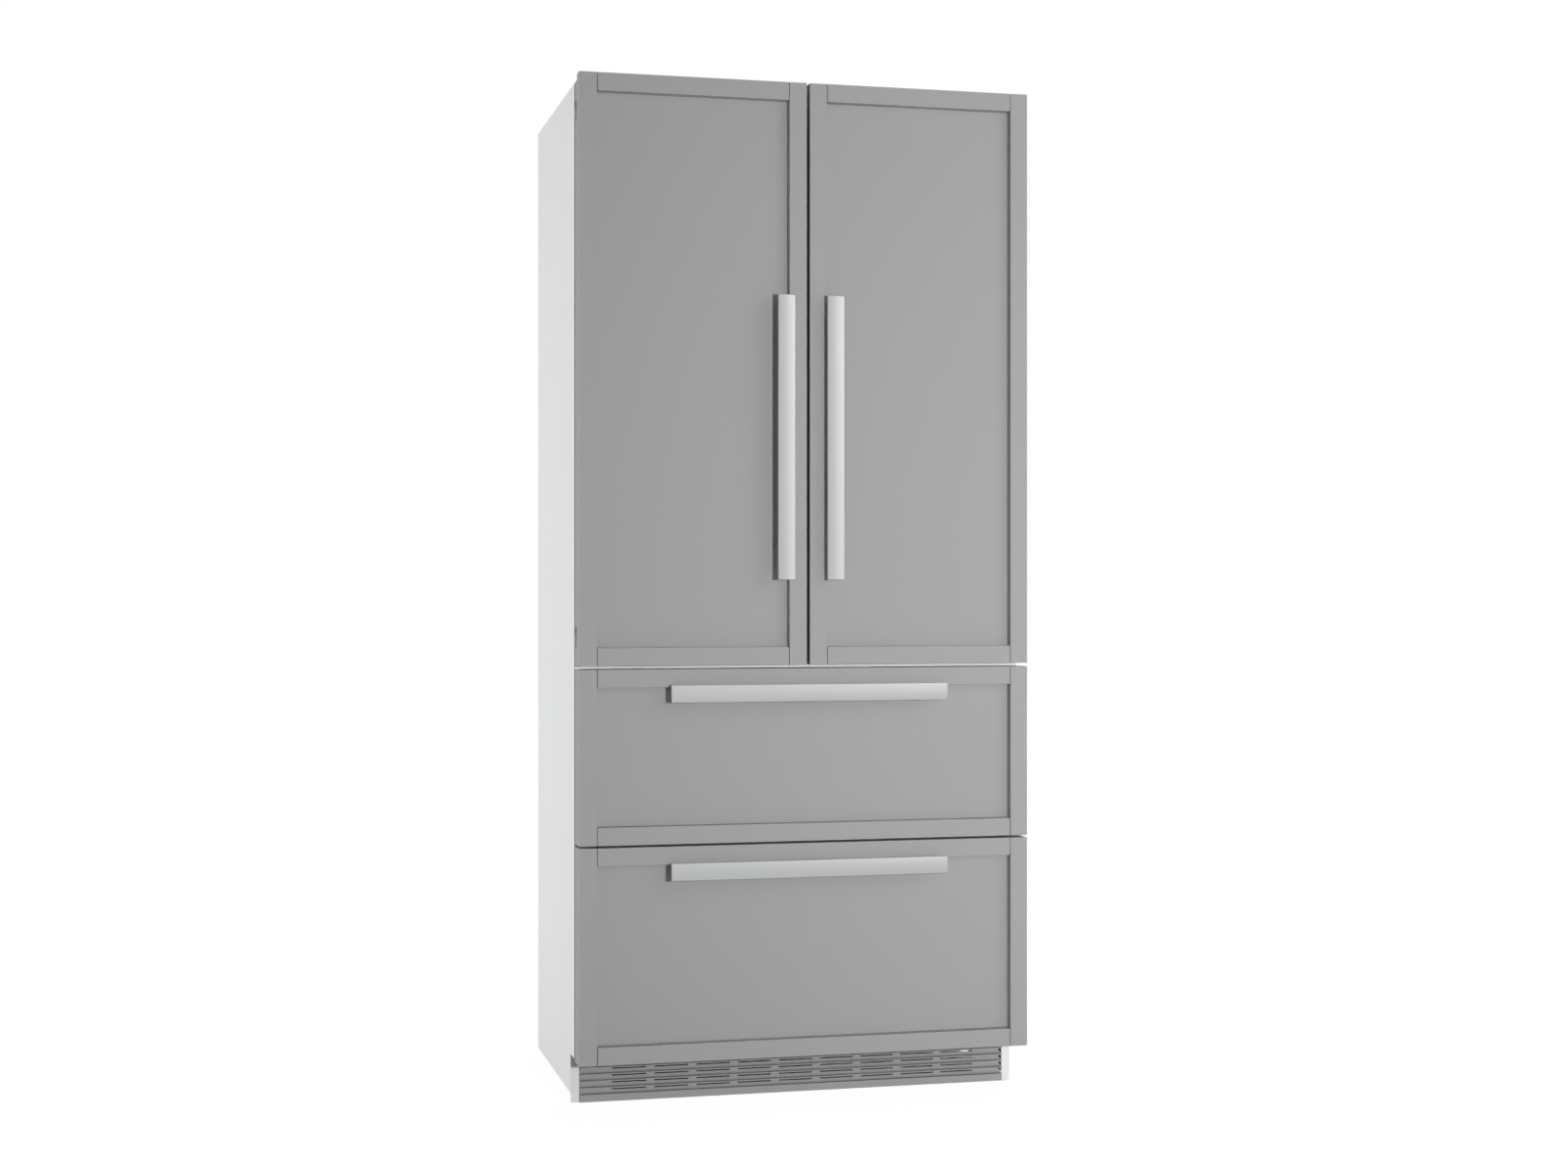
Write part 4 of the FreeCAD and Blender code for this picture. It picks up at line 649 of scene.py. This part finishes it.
rear_panel()
x0, x1, y0, y1, z0, z1 = extent("machine_cover")
places = [(x, y1 - 0.0004, z) for x in (x0 + 0.012, -0.22, 0.22, x1 - 0.012)
          for z in (z0 + 0.012, z1 - 0.014)]
screws("machine_cover_screws", places, "cabinet")
BUSH_Z = 0.1525
profile = [(0.0056, y1 - 0.010), (0.0056, y1 - 0.0005), (0.0066, y1 + 0.0012), (0.0092, y1 + 0.0016),
           (0.0112, y1 + 0.0008), (0.0116, y1 - 0.0002), (0.0116, y1 - 0.001), (0.0075, y1 - 0.001),
           (0.0075, y1 - 0.010), (0.0056, y1 - 0.010)]
mesh = bmesh.new()
add_turned(mesh, profile, lambda a, b, h: (a, h, BUSH_Z + b))
piece("mains_lead_bush", mesh, "cabinet", foot_plastic)


# ---------------------------------------------------------------- fans
BLADES = 5
CONDENSER_FAN_Y, CONDENSER_FAN_Z, EVAPORATOR_FAN_Z = 0.2215, 0.115, 0.422


def add_blades(mesh, hub_r, tip_r, chord, place):
    """Twisted, swept fan blades round an axis; place(a, b, h) has h along the axis."""
    rows, columns, thickness = 9, 8, 0.0016
    pitch_root, pitch_tip = math.radians(38), math.radians(22)
    for k in range(BLADES):
        start = math.tau * k / BLADES
        faces = []
        for side in (-1, 1):
            grid = []
            for i in range(rows):
                t = i / (rows - 1)
                r = hub_r + (tip_r - hub_r) * t
                pitch = pitch_root + (pitch_tip - pitch_root) * t
                width = chord * (0.72 + 0.5 * math.sin(math.pi * (0.25 + 0.55 * t)))
                line = []
                for j in range(columns):
                    s = j / (columns - 1) - 0.5
                    along = s * width
                    camber = 0.0022 * (1 - 4 * s * s)
                    turn = start + 0.22 * t * t + along * math.cos(pitch) / r
                    h = along * math.sin(pitch) + camber + side * thickness / 2 * (1 - 3.2 * s * s)
                    line.append(mesh.verts.new(place(r * math.cos(turn), r * math.sin(turn), h)))
                grid.append(line)
            faces.append(grid)
        low, high = faces
        for i in range(rows - 1):
            for j in range(columns - 1):
                mesh.faces.new((low[i][j], low[i][j + 1], low[i + 1][j + 1], low[i + 1][j]))
                mesh.faces.new((high[i][j], high[i + 1][j], high[i + 1][j + 1], high[i][j + 1]))
            mesh.faces.new((low[i][0], low[i + 1][0], high[i + 1][0], high[i][0]))
            mesh.faces.new((low[i][-1], high[i][-1], high[i + 1][-1], low[i + 1][-1]))
        for i in (0, rows - 1):
            for j in range(columns - 1):
                mesh.faces.new((low[i][j], high[i][j], high[i][j + 1], low[i][j + 1]))


def rotor(node, hub_r, tip_r, chord, place, h0, h1):
    """Moulded rotor: domed hub with a collar and twisted blades."""
    mesh = bmesh.new()
    mid = (h0 + h1) / 2
    hub = [(0.0, h0), (hub_r * 0.55, h0), (hub_r * 0.85, h0 + 0.0015), (hub_r, h0 + 0.004),
           (hub_r, h1 - 0.004), (hub_r * 0.92, h1 - 0.0012), (hub_r * 0.5, h1), (0.0, h1)]
    add_turned(mesh, hub, place, 48)
    add_blades(mesh, hub_r * 0.96, tip_r, chord, lambda a, b, h: place(a, b, mid + h))
    piece(node + "_rotor_moulding", mesh, node + "_rotor", fan_plastic, [node],
          smooth_angle=50)


x0, x1, y0, y1, z0, z1 = extent("condenser_fan")
rotor("condenser_fan", 0.020, 0.0645, 0.046,
      lambda a, b, h: (h, CONDENSER_FAN_Y + a, CONDENSER_FAN_Z + b), x0 + 0.004, x1 - 0.002)
x0, x1, y0, y1, z0, z1 = extent("evaporator_fan")
rotor("evaporator_fan", 0.013, 0.0450, 0.034,
      lambda a, b, h: (a, h, EVAPORATOR_FAN_Z + b), y0 + 0.003, y1 - 0.003)


# ---------------------------------------------------------------- feet and rollers
def levelling_foot(side):
    """Threaded stud with a nut, over a moulded pad with a knurled rim."""
    name, body = side + "_foot", side + "_levelling_foot"
    x0, x1, y0, y1, z0, z1 = extent(name)
    cx, cy, rim = (x0 + x1) / 2, (y0 + y1) / 2, (x1 - x0) / 2
    place = lambda a, b, h: (cx + a, cy + b, h)
    knurls, knurl, pad_steps = 36, 0.018, 144
    mesh = bmesh.new()
    loops = []
    for radius, h, wave in ((rim * 0.86, z0, 0), (rim * 0.97, z0 + 0.0012, 0), (rim, z0 + 0.003, 1),
                            (rim, z0 + 0.0085, 1), (rim * 0.93, z0 + 0.0105, 0),
                            (rim * 0.45, z0 + 0.0135, 0), (rim * 0.40, z0 + 0.0150, 0)):
        ring = []
        for i in range(pad_steps):
            turn = math.tau * i / pad_steps
            r = radius * (1 - (knurl * (0.5 + 0.5 * math.cos(knurls * turn)) if wave else 0))
            ring.append(place(r * math.cos(turn), r * math.sin(turn), h))
        loops.append(ring)
    add_loft(mesh, loops)
    piece(name + "_pad", mesh, body, foot_plastic, smooth_angle=45)
    mesh = bmesh.new()
    stud_r, pitch, steps = 0.0060, 0.00175, 24
    turns = int((z1 - z0 - 0.018) / pitch)
    rings = [[place(a, b, z0 + 0.0140) for a, b in circle(0.0044, steps)]]
    for k in range(turns * 4):
        crest = stud_r - (0.0 if k % 4 in (0, 1) else 0.0008)
        rings.append([place(a, b, z0 + 0.0150 + (k / 4 + i / steps) * pitch)
                      for i, (a, b) in enumerate(circle(crest, steps))])
    rings.append([place(a, b, z1) for a, b in circle(0.0048, steps)])
    add_loft(mesh, rings)
    across, low, high = 0.0098, z0 + 0.0150, z0 + 0.0205
    nut = ((across * 0.92, low), (across, low + 0.0007), (across, high - 0.0007), (across * 0.92, high))
    add_loft(mesh, [[place(a, b, h) for a, b in circle(r, 6)] for r, h in nut])
    piece(name + "_stud", mesh, body, steel, [name], smooth_angle=35)


def rear_roller(side):
    """Wheel with a ribbed web and a rounded tyre on a steel axle."""
    name, body = side + "_roller", side + "_rear_roller"
    x0, x1, y0, y1, z0, z1 = extent(name)
    cy, cz, r = (y0 + y1) / 2, (z0 + z1) / 2, (z1 - z0) / 2
    mid, half = (x0 + x1) / 2, 0.011
    place = lambda a, b, h: (mid + h, cy + a, cz + b)
    mesh = bmesh.new()
    wheel = [(0.0044, -half * 0.9), (r * 0.36, -half * 0.9), (r * 0.42, -half * 0.5),
             (r * 0.70, -half * 0.5), (r * 0.76, -half * 0.86), (r * 0.93, -half),
             (r * 0.985, -half * 0.82), (r, -half * 0.4), (r, half * 0.4), (r * 0.985, half * 0.82),
             (r * 0.93, half), (r * 0.76, half * 0.86), (r * 0.70, half * 0.5), (r * 0.42, half * 0.5),
             (r * 0.36, half * 0.9), (0.0044, half * 0.9), (0.0044, -half * 0.9)]
    add_turned(mesh, wheel, place, 56)
    for k in range(6):
        turn = math.tau * k / 6
        c, s = math.cos(turn), math.sin(turn)
        for h0, h1 in ((-half * 0.8, -half * 0.45), (half * 0.45, half * 0.8)):
            outline = [(r * 0.38, -0.0008), (r * 0.74, -0.0008), (r * 0.74, 0.0008), (r * 0.38, 0.0008)]
            add_prism(mesh, outline, h0, h1, lambda a, b, h: place(a * c - b * s, a * s + b * c, h))
    piece(name + "_wheel", mesh, body, foot_plastic, [name])
    mesh = bmesh.new()
    axle = [(0.0, x0 - mid), (0.0034, x0 - mid), (0.0040, x0 - mid + 0.0006),
            (0.0040, x1 - mid - 0.0006), (0.0034, x1 - mid), (0.0, x1 - mid)]
    add_turned(mesh, axle, place, 28)
    piece(name + "_axle", mesh, body, steel)


for side in ("left", "right"):
    levelling_foot(side)
    rear_roller(side)


# ---------------------------------------------------------------- compressor
def compressor():
    """Welded pot on a pressed foot plate with rubber mounts, a clipped relay cover and brazed stubs."""
    x0, x1, y0, y1, z0, z1 = extent("compressor")
    cx, cy, r = 0.150, 0.2215, 0.0675
    place = lambda a, b, h: (cx + a, cy + b, h)
    mesh = bmesh.new()
    profile = [(0.0, 0.0505), (0.030, 0.0500), (0.050, 0.0515), (0.062, 0.0565), (r - 0.001, 0.066),
               (r, 0.076), (r, 0.1135), (r + 0.0012, 0.1145), (r + 0.0012, 0.1185), (r, 0.1195),
               (r, 0.150), (r - 0.0015, 0.160), (0.0615, 0.1705), (0.052, 0.1785), (0.036, 0.1838),
               (0.016, 0.1856), (0.0, 0.186)]
    add_turned(mesh, profile, place, 72)
    piece("compressor_pot", mesh, "cabinet", black_can, ["compressor"], smooth_angle=50)
    mesh = bmesh.new()
    loops = [[(x, y, z) for x, y in rounded_loop(x0 + 0.006, x1 - 0.006, y0 + 0.004, y1 - 0.004, 0.016)]
             for z in (0.0335, 0.0355)]
    add_loft(mesh, loops)
    skirt = [(0.034, 0.0355), (0.052, 0.0358), (0.050, 0.040), (0.046, 0.0505), (0.034, 0.0505)]
    add_turned(mesh, skirt, place, 40)
    piece("compressor_foot_plate", mesh, "cabinet", steel, bevel=0.0006)
    mesh = bmesh.new()
    for sx in (-1, 1):
        for sy in (-1, 1):
            gx, gy = cx + sx * 0.084, cy + sy * 0.052
            add_turned(mesh, [(0.0, z0), (0.0095, z0), (0.0105, z0 + 0.001), (0.0105, z0 + 0.0055),
                              (0.0080, z0 + 0.007), (0.0080, z0 + 0.0120), (0.0104, z0 + 0.0130),
                              (0.0104, z0 + 0.0175), (0.0092, z0 + 0.0190), (0.0, z0 + 0.0190)],
                       lambda a, b, h: (gx + a, gy + b, h), 28)
    piece("compressor_mounts", mesh, "cabinet", rubber)
    mesh = bmesh.new()
    loops = []
    for grow, x in ((0.0, cx - r + 0.004), (0.0, cx - r - 0.012), (-0.002, cx - r - 0.0165),
                    (-0.006, cx - r - 0.018)):
        rim = rounded_loop(cy - 0.030 - grow, cy + 0.030 + grow, 0.078 - grow, 0.140 + grow, 0.006)
        loops.append([(x, y, z) for y, z in rim])
    add_loft(mesh, loops)
    for k in range(4):
        add_box(mesh, cx - r - 0.0188, cx - r - 0.0178, cy - 0.018, cy + 0.018, 0.090 + k * 0.010,
                0.0935 + k * 0.010)
    piece("compressor_relay_cover", mesh, "cabinet", fan_plastic, smooth_angle=45)
    for stub, radius, path in (
        ("suction", 0.0038, ((0.030, -0.055, 0.130), (0.036, -0.0665, 0.131),
                             (0.037, -0.0672, 0.150), (0.037, -0.0672, 0.176))),
        ("charging", 0.0030, ((-0.020, -0.060, 0.135), (-0.022, -0.0672, 0.136),
                              (-0.022, -0.0674, 0.150), (-0.022, -0.0674, 0.170))),
        ("discharge", 0.0030, ((0.060, -0.010, 0.120), (0.0705, -0.012, 0.121),
                               (0.0725, -0.012, 0.135), (0.0725, -0.012, 0.160))),
    ):
        tube("compressor_" + stub + "_stub", [place(*point) for point in path], radius, "cabinet",
             copper)


compressor()


# ---------------------------------------------------------------- heat exchangers
def coil_block(name, look, box, rows, columns, fins, tube_r):
    """Folded tube in rows through thin fins, with return bends past both end plates."""
    x0, x1, y0, y1, z0, z1 = box
    mesh = bmesh.new()
    end = 0.014
    fx0, fx1 = x0 + end, x1 - end
    pitch = (fx1 - fx0) / (fins - 1)
    for i in range(fins):
        x = fx0 + i * pitch
        w = 0.0009 if i in (0, fins - 1) else 0.00022
        g = 0.0 if i in (0, fins - 1) else 0.0012
        add_box(mesh, x - w, x + w, y0 + g, y1 - g, z0 + g, z1 - g)
    piece(name + "_fins", mesh, "cabinet", coil_metal, [name])
    mesh = bmesh.new()
    dy, dz = (y1 - y0) / columns, (z1 - z0) / rows
    centres = []
    for j in range(columns):
        order = range(rows) if j % 2 == 0 else range(rows - 1, -1, -1)
        centres += [(y0 + (j + 0.5) * dy, z0 + (i + 0.5) * dz) for i in order]
    for y, z in centres:
        add_turned(mesh, [(tube_r, fx0 - 0.0015), (tube_r, fx1 + 0.0015)],
                   lambda a, b, h: (h, y + a, z + b), 14)
    for k in range(len(centres) - 1):
        (ya, za), (yb, zb) = centres[k], centres[k + 1]
        x, out = (fx1 + 0.0015, 1) if k % 2 == 0 else (fx0 - 0.0015, -1)
        my, mz = (ya + yb) / 2, (za + zb) / 2
        half = math.hypot(yb - ya, zb - za) / 2
        uy, uz = (yb - ya) / 2 / half, (zb - za) / 2 / half
        bulge = min(half, end - tube_r - 0.002) / half
        rings = []
        for s in range(11):
            t = math.pi * s / 10
            cc, ss = -math.cos(t), math.sin(t)
            ring = []
            for q in range(14):
                w = math.tau * q / 14
                along = cc * (half + tube_r * math.cos(w))
                outward = ss * (half * bulge + tube_r * math.cos(w))
                aside = tube_r * math.sin(w)
                ring.append((x + out * outward, my + uy * along - uz * aside,
                             mz + uz * along + uy * aside))
            rings.append(ring)
        add_loft(mesh, rings, False, False)
    piece(name + "_tubes", mesh, "cabinet", look, smooth_angle=60)


coil_block("condenser", copper, (-0.372, -0.114, 0.1605, 0.2835, 0.040, 0.190), 6, 4, 66, 0.0040)
mesh = bmesh.new()
for x in (-0.360, -0.126):
    for y in (0.1720, 0.2710):
        add_box(mesh, x - 0.010, x + 0.010, y - 0.006, y + 0.006, 0.0215, 0.0232)
        add_box(mesh, x - 0.0012, x + 0.0012, y - 0.006, y + 0.006, 0.0215, 0.0402)
piece("condenser_feet", mesh, "cabinet", galvanised, bevel=0.0004)
coil_block("evaporator", coil_metal, (-0.318, 0.318, 0.1250, 0.2190, 0.322, 0.368), 2, 4, 90, 0.0042)


# ---------------------------------------------------------------- ceiling console
lamp_lens = clear_plastic("lamp_diffuser", tone(244, 246, 248), 0.4, 0.55)
touch_strip = surface("touch_strip_gloss", tone(52, 54, 57), rough=0.18, mottle=0.03, mottle_scale=20.0,
                      grain=0.00003)


def console():
    """Moulded housing with a ribbed diffuser and a dark touch strip at its front."""
    x0, x1, y0, y1, z0, z1 = extent("ceiling_console")
    mesh = bmesh.new()
    loops = []
    for inset, z in ((0.0, z1), (0.0, z0 + 0.0035), (0.0012, z0 + 0.0012), (0.0035, z0 + 0.0002),
                     (0.006, z0 + 0.0002)):
        rim = rounded_loop(x0 + inset, x1 - inset, y0 + inset, y1 - inset, 0.010)
        loops.append([(x, y, z) for x, y in rim])
    add_loft(mesh, loops)
    piece("console_housing", mesh, "cabinet", liner_plastic, ["ceiling_console"],
          smooth_angle=45)
    mesh = bmesh.new()
    outline = [(0.0, 0.0)]
    ribs = 18
    width = (y1 - y0) - 0.052
    for k in range(ribs):
        a = k * width / ribs
        outline += [(a + width / ribs * 0.5, -0.0007), (a + width / ribs, 0.0)]
    outline += [(width, 0.0012), (0.0, 0.0012)]
    add_prism(mesh, outline, x0 + 0.020, x1 - 0.020,
              lambda a, b, t: (t, y0 + 0.040 + a, z0 + 0.0006 + b))
    piece("console_diffuser", mesh, "cabinet", lamp_lens, smooth_angle=20)
    mesh = bmesh.new()
    loops = []
    for i, z in ((0.0, z0 + 0.0012), (0.0, z0 + 0.0002), (0.0006, z0 - 0.0001)):
        rim = rounded_loop(x0 + 0.03 + i, x1 - 0.03 - i, y0 + 0.010 + i, y0 + 0.030 - i, 0.005)
        loops.append([(x, y, z) for x, y in rim])
    add_loft(mesh, loops)
    piece("console_touch_strip", mesh, "cabinet", touch_strip, smooth_angle=45)


console()


# ---------------------------------------------------------------- door dykes and centre mullion
def dyke_mouldings(door, outer_x, inner_x):
    """Formed skins over the two upright ribs that hold the bins: flared foot, rounded crest."""
    y0, y1 = extent(door + "_shell")[3], extent(door + "_liner")[3]
    z0, z1, thick, skin, flare = 1.110, 1.925, 0.008, 0.0005, 0.0045
    mesh = bmesh.new()
    for x in (outer_x, inner_x):
        a, b = x - skin, x + thick + skin
        outline = [(a, y1 - 0.0014), (a + 0.0008, y1), (a + 0.0020, y1 + skin), (b - 0.0020, y1 + skin),
                   (b - 0.0008, y1), (b, y1 - 0.0014)]
        foot = [(flare * (1 - math.sin(t)), flare * (1 - math.cos(t)))
                for t in (math.pi / 2 * i / 5 for i in range(6))]
        outwards = [(u, y0 + 0.0002 + v) for u, v in foot]
        plain = [(0.0, y0 + 0.0002)]
        left, right = (outwards, plain) if x == outer_x else (plain, outwards)
        outline += [(b + u, v) for u, v in sorted(right, key=lambda p: -p[1])]
        outline += [(a - u, v) for u, v in sorted(left, key=lambda p: p[1])]
        add_prism(mesh, outline, z0 - skin, z1 + skin, lambda p, q, t: (p, q, t))
    piece(door + "_dyke_skins", mesh, door, liner_plastic, bevel=0.0008)


dyke_mouldings("left_door", -0.401, -0.056)
dyke_mouldings("right_door", 0.048, 0.393)


def centre_mullion():
    """Folding sealing bar: moulded core, round hinge barrel, caps and a steel strip for the gaskets."""
    x0, x1, y0, y1, z0, z1 = extent("mullion_flap")
    axis_x, axis_y, barrel = (x0 + x1) / 2, y0 + 0.006, 0.006
    bore, bore_depth = 0.0034, 0.0126           # room for the hinge pins at both ends
    mesh = bmesh.new()
    outline = rounded_loop(x0, x1, axis_y + 0.004, y1, 0.0030)
    cap = rounded_loop(x0, x1, axis_y + 0.004, y1, 0.0045)
    core = rounded_loop(x0 + 0.0008, x1 - 0.0008, axis_y + 0.005, y1 - 0.0008, 0.0030)
    for section, low, high in ((outline, z0 + 0.010, z1 - 0.010), (cap, z0, z0 + 0.0095),
                               (cap, z1 - 0.0095, z1), (core, z0 + 0.009, z1 - 0.009)):
        add_prism(mesh, section, low, high, lambda a, b, t: (a, b, t))
    profile = [(0.0, z0 + bore_depth), (bore, z0 + bore_depth), (bore, z0), (barrel - 0.0006, z0),
               (barrel, z0 + 0.0006), (barrel, z1 - 0.0006), (barrel - 0.0006, z1), (bore, z1),
               (bore, z1 - bore_depth), (0.0, z1 - bore_depth)]
    add_turned(mesh, profile, lambda a, b, h: (axis_x + a, axis_y + b, h), steps=24)
    piece("centre_mullion_moulding", mesh, "centre_mullion", liner_plastic,
          ["mullion_flap"], smooth_angle=45)
    mesh = bmesh.new()
    add_box(mesh, x1 - 0.0009, x1 + 0.00006, axis_y + 0.008, y1 - 0.005, z0 + 0.014, z1 - 0.014)
    piece("centre_mullion_strip", mesh, "centre_mullion", steel, bevel=0.0001, segments=1)


centre_mullion()


# ---------------------------------------------------------------- floor, light and camera
FLOOR_GREY, FLOOR_GLOW, WORLD_LIGHT = 0.45, 1.08, 0.12
SHADE_SHIFT = (-0.0105, -0.07, 0)               # moves the shaded patch under the cabinet
SHADE_HALVES = (("X", 0.442), ("Y", 0.235))


def seen_directly(tree):
    """Output that is 1 for camera, glossy and transmission rays."""
    rays = tree.nodes.new("ShaderNodeLightPath").outputs
    seen = combine(tree, "MAXIMUM", rays["Is Camera Ray"], rays["Is Glossy Ray"])
    return combine(tree, "MAXIMUM", seen, rays["Is Transmission Ray"])


def white_floor():
    """Pale floor that keeps a soft contact shadow near the object and runs out into the backdrop."""
    look = bpy.data.materials.new("studio_floor")
    look.use_nodes = True
    tree = look.node_tree
    new, link = tree.nodes.new, tree.links.new
    shade = tree.nodes["Principled BSDF"]
    shade.inputs["Base Color"].default_value = (FLOOR_GREY, FLOOR_GREY, FLOOR_GREY, 1)
    shade.inputs["Roughness"].default_value = 1.0
    shade.inputs["Specular IOR Level"].default_value = 0.0
    glow = new("ShaderNodeEmission")
    glow.inputs["Strength"].default_value = FLOOR_GLOW
    coords = new("ShaderNodeTexCoord")
    reach = new("ShaderNodeVectorMath")
    reach.operation = "LENGTH"
    link(coords.outputs["Object"], reach.inputs[0])
    fade = map_range(tree, reach.outputs["Value"], 0.7, 1.6, to_min=0.9)
    # the floor under the cabinet stays in its shade
    shift = new("ShaderNodeVectorMath")
    shift.operation = "ADD"
    shift.inputs[1].default_value = SHADE_SHIFT
    size = new("ShaderNodeVectorMath")
    size.operation = "ABSOLUTE"
    under = new("ShaderNodeSeparateXYZ")
    link(coords.outputs["Object"], shift.inputs[0])
    link(shift.outputs[0], size.inputs[0])
    link(size.outputs[0], under.inputs[0])
    outside = combine(tree, "MAXIMUM", *(map_range(tree, under.outputs[axis], half - 0.002, half)
                                         for axis, half in SHADE_HALVES))
    clear = combine(tree, "MULTIPLY", fade, outside)
    amount = combine(tree, "MULTIPLY", seen_directly(tree), clear)
    mix = new("ShaderNodeMixShader")
    link(amount, mix.inputs["Fac"])
    link(shade.outputs[0], mix.inputs[1])
    link(glow.outputs[0], mix.inputs[2])
    link(mix.outputs[0], tree.nodes["Material Output"].inputs["Surface"])
    return look


bpy.ops.mesh.primitive_plane_add(size=30, location=(0, 0, 0))
floor = bpy.context.object
floor.name = "studio_floor"
floor.data.materials.append(white_floor())

world = bpy.data.worlds.new("studio")
scene.world = world
world.use_nodes = True
tree = world.node_tree
backdrop = tree.nodes["Background"]
backdrop.inputs["Color"].default_value = (1, 1, 1, 1)
seen = map_range(tree, seen_directly(tree), to_min=WORLD_LIGHT)
tree.links.new(seen, backdrop.inputs["Strength"])


def lamp(name, place, aim, size, power, tall=None, spread=180.0, glossy=True):
    """Area light at a place, turned to its aim; round unless it has a height."""
    light = bpy.data.lights.new(name, "AREA")
    light.shape = "RECTANGLE" if tall else "DISK"
    light.size = size
    if tall:
        light.size_y = tall
    light.spread = math.radians(spread)
    light.energy = power
    made = bpy.data.objects.new(name, light)
    scene.collection.objects.link(made)
    made.location = place
    made.rotation_mode = "QUATERNION"
    made.rotation_quaternion = (Vector(aim) - Vector(place)).to_track_quat("-Z", "Y")
    made.visible_glossy = glossy


lamp("key", (0.05, -4.9, 1.05), (1.8, FRONT_Y, 1.0), 0.3, 77, spread=118, glossy=False)
lamp("fill_right", (2.4, -3.4, 2.2), (0, FRONT_Y, 1.2), 3.0, 35, tall=3.0)
lamp("side_left", (-4.4, 0.45, 1.2), (-0.45, 0.05, 0.9), 1.4, 97)
lamp("side_right", (4.4, 0.55, 1.3), (0.45, 0.05, 1.0), 1.4, 56, glossy=False)
lamp("top", (0.1, 0.3, 4.6), (0, 0.1, 2.0), 1.4, 50)
lamp("back_right", (2.6, 3.6, 2.0), (0.1, 0.2, 1.0), 1.6, 80)

camera = bpy.data.cameras.new("camera")
camera.lens = 53.5
camera.sensor_width = 36.0
camera.clip_end = 100.0
eye = bpy.data.objects.new("camera", camera)
scene.collection.objects.link(eye)
eye.location = (-1.133, -4.701, 1.010)
eye.rotation_euler = (math.radians(90), 0, math.radians(-13.76))
scene.camera = eye
scene.view_settings.view_transform = "Standard"
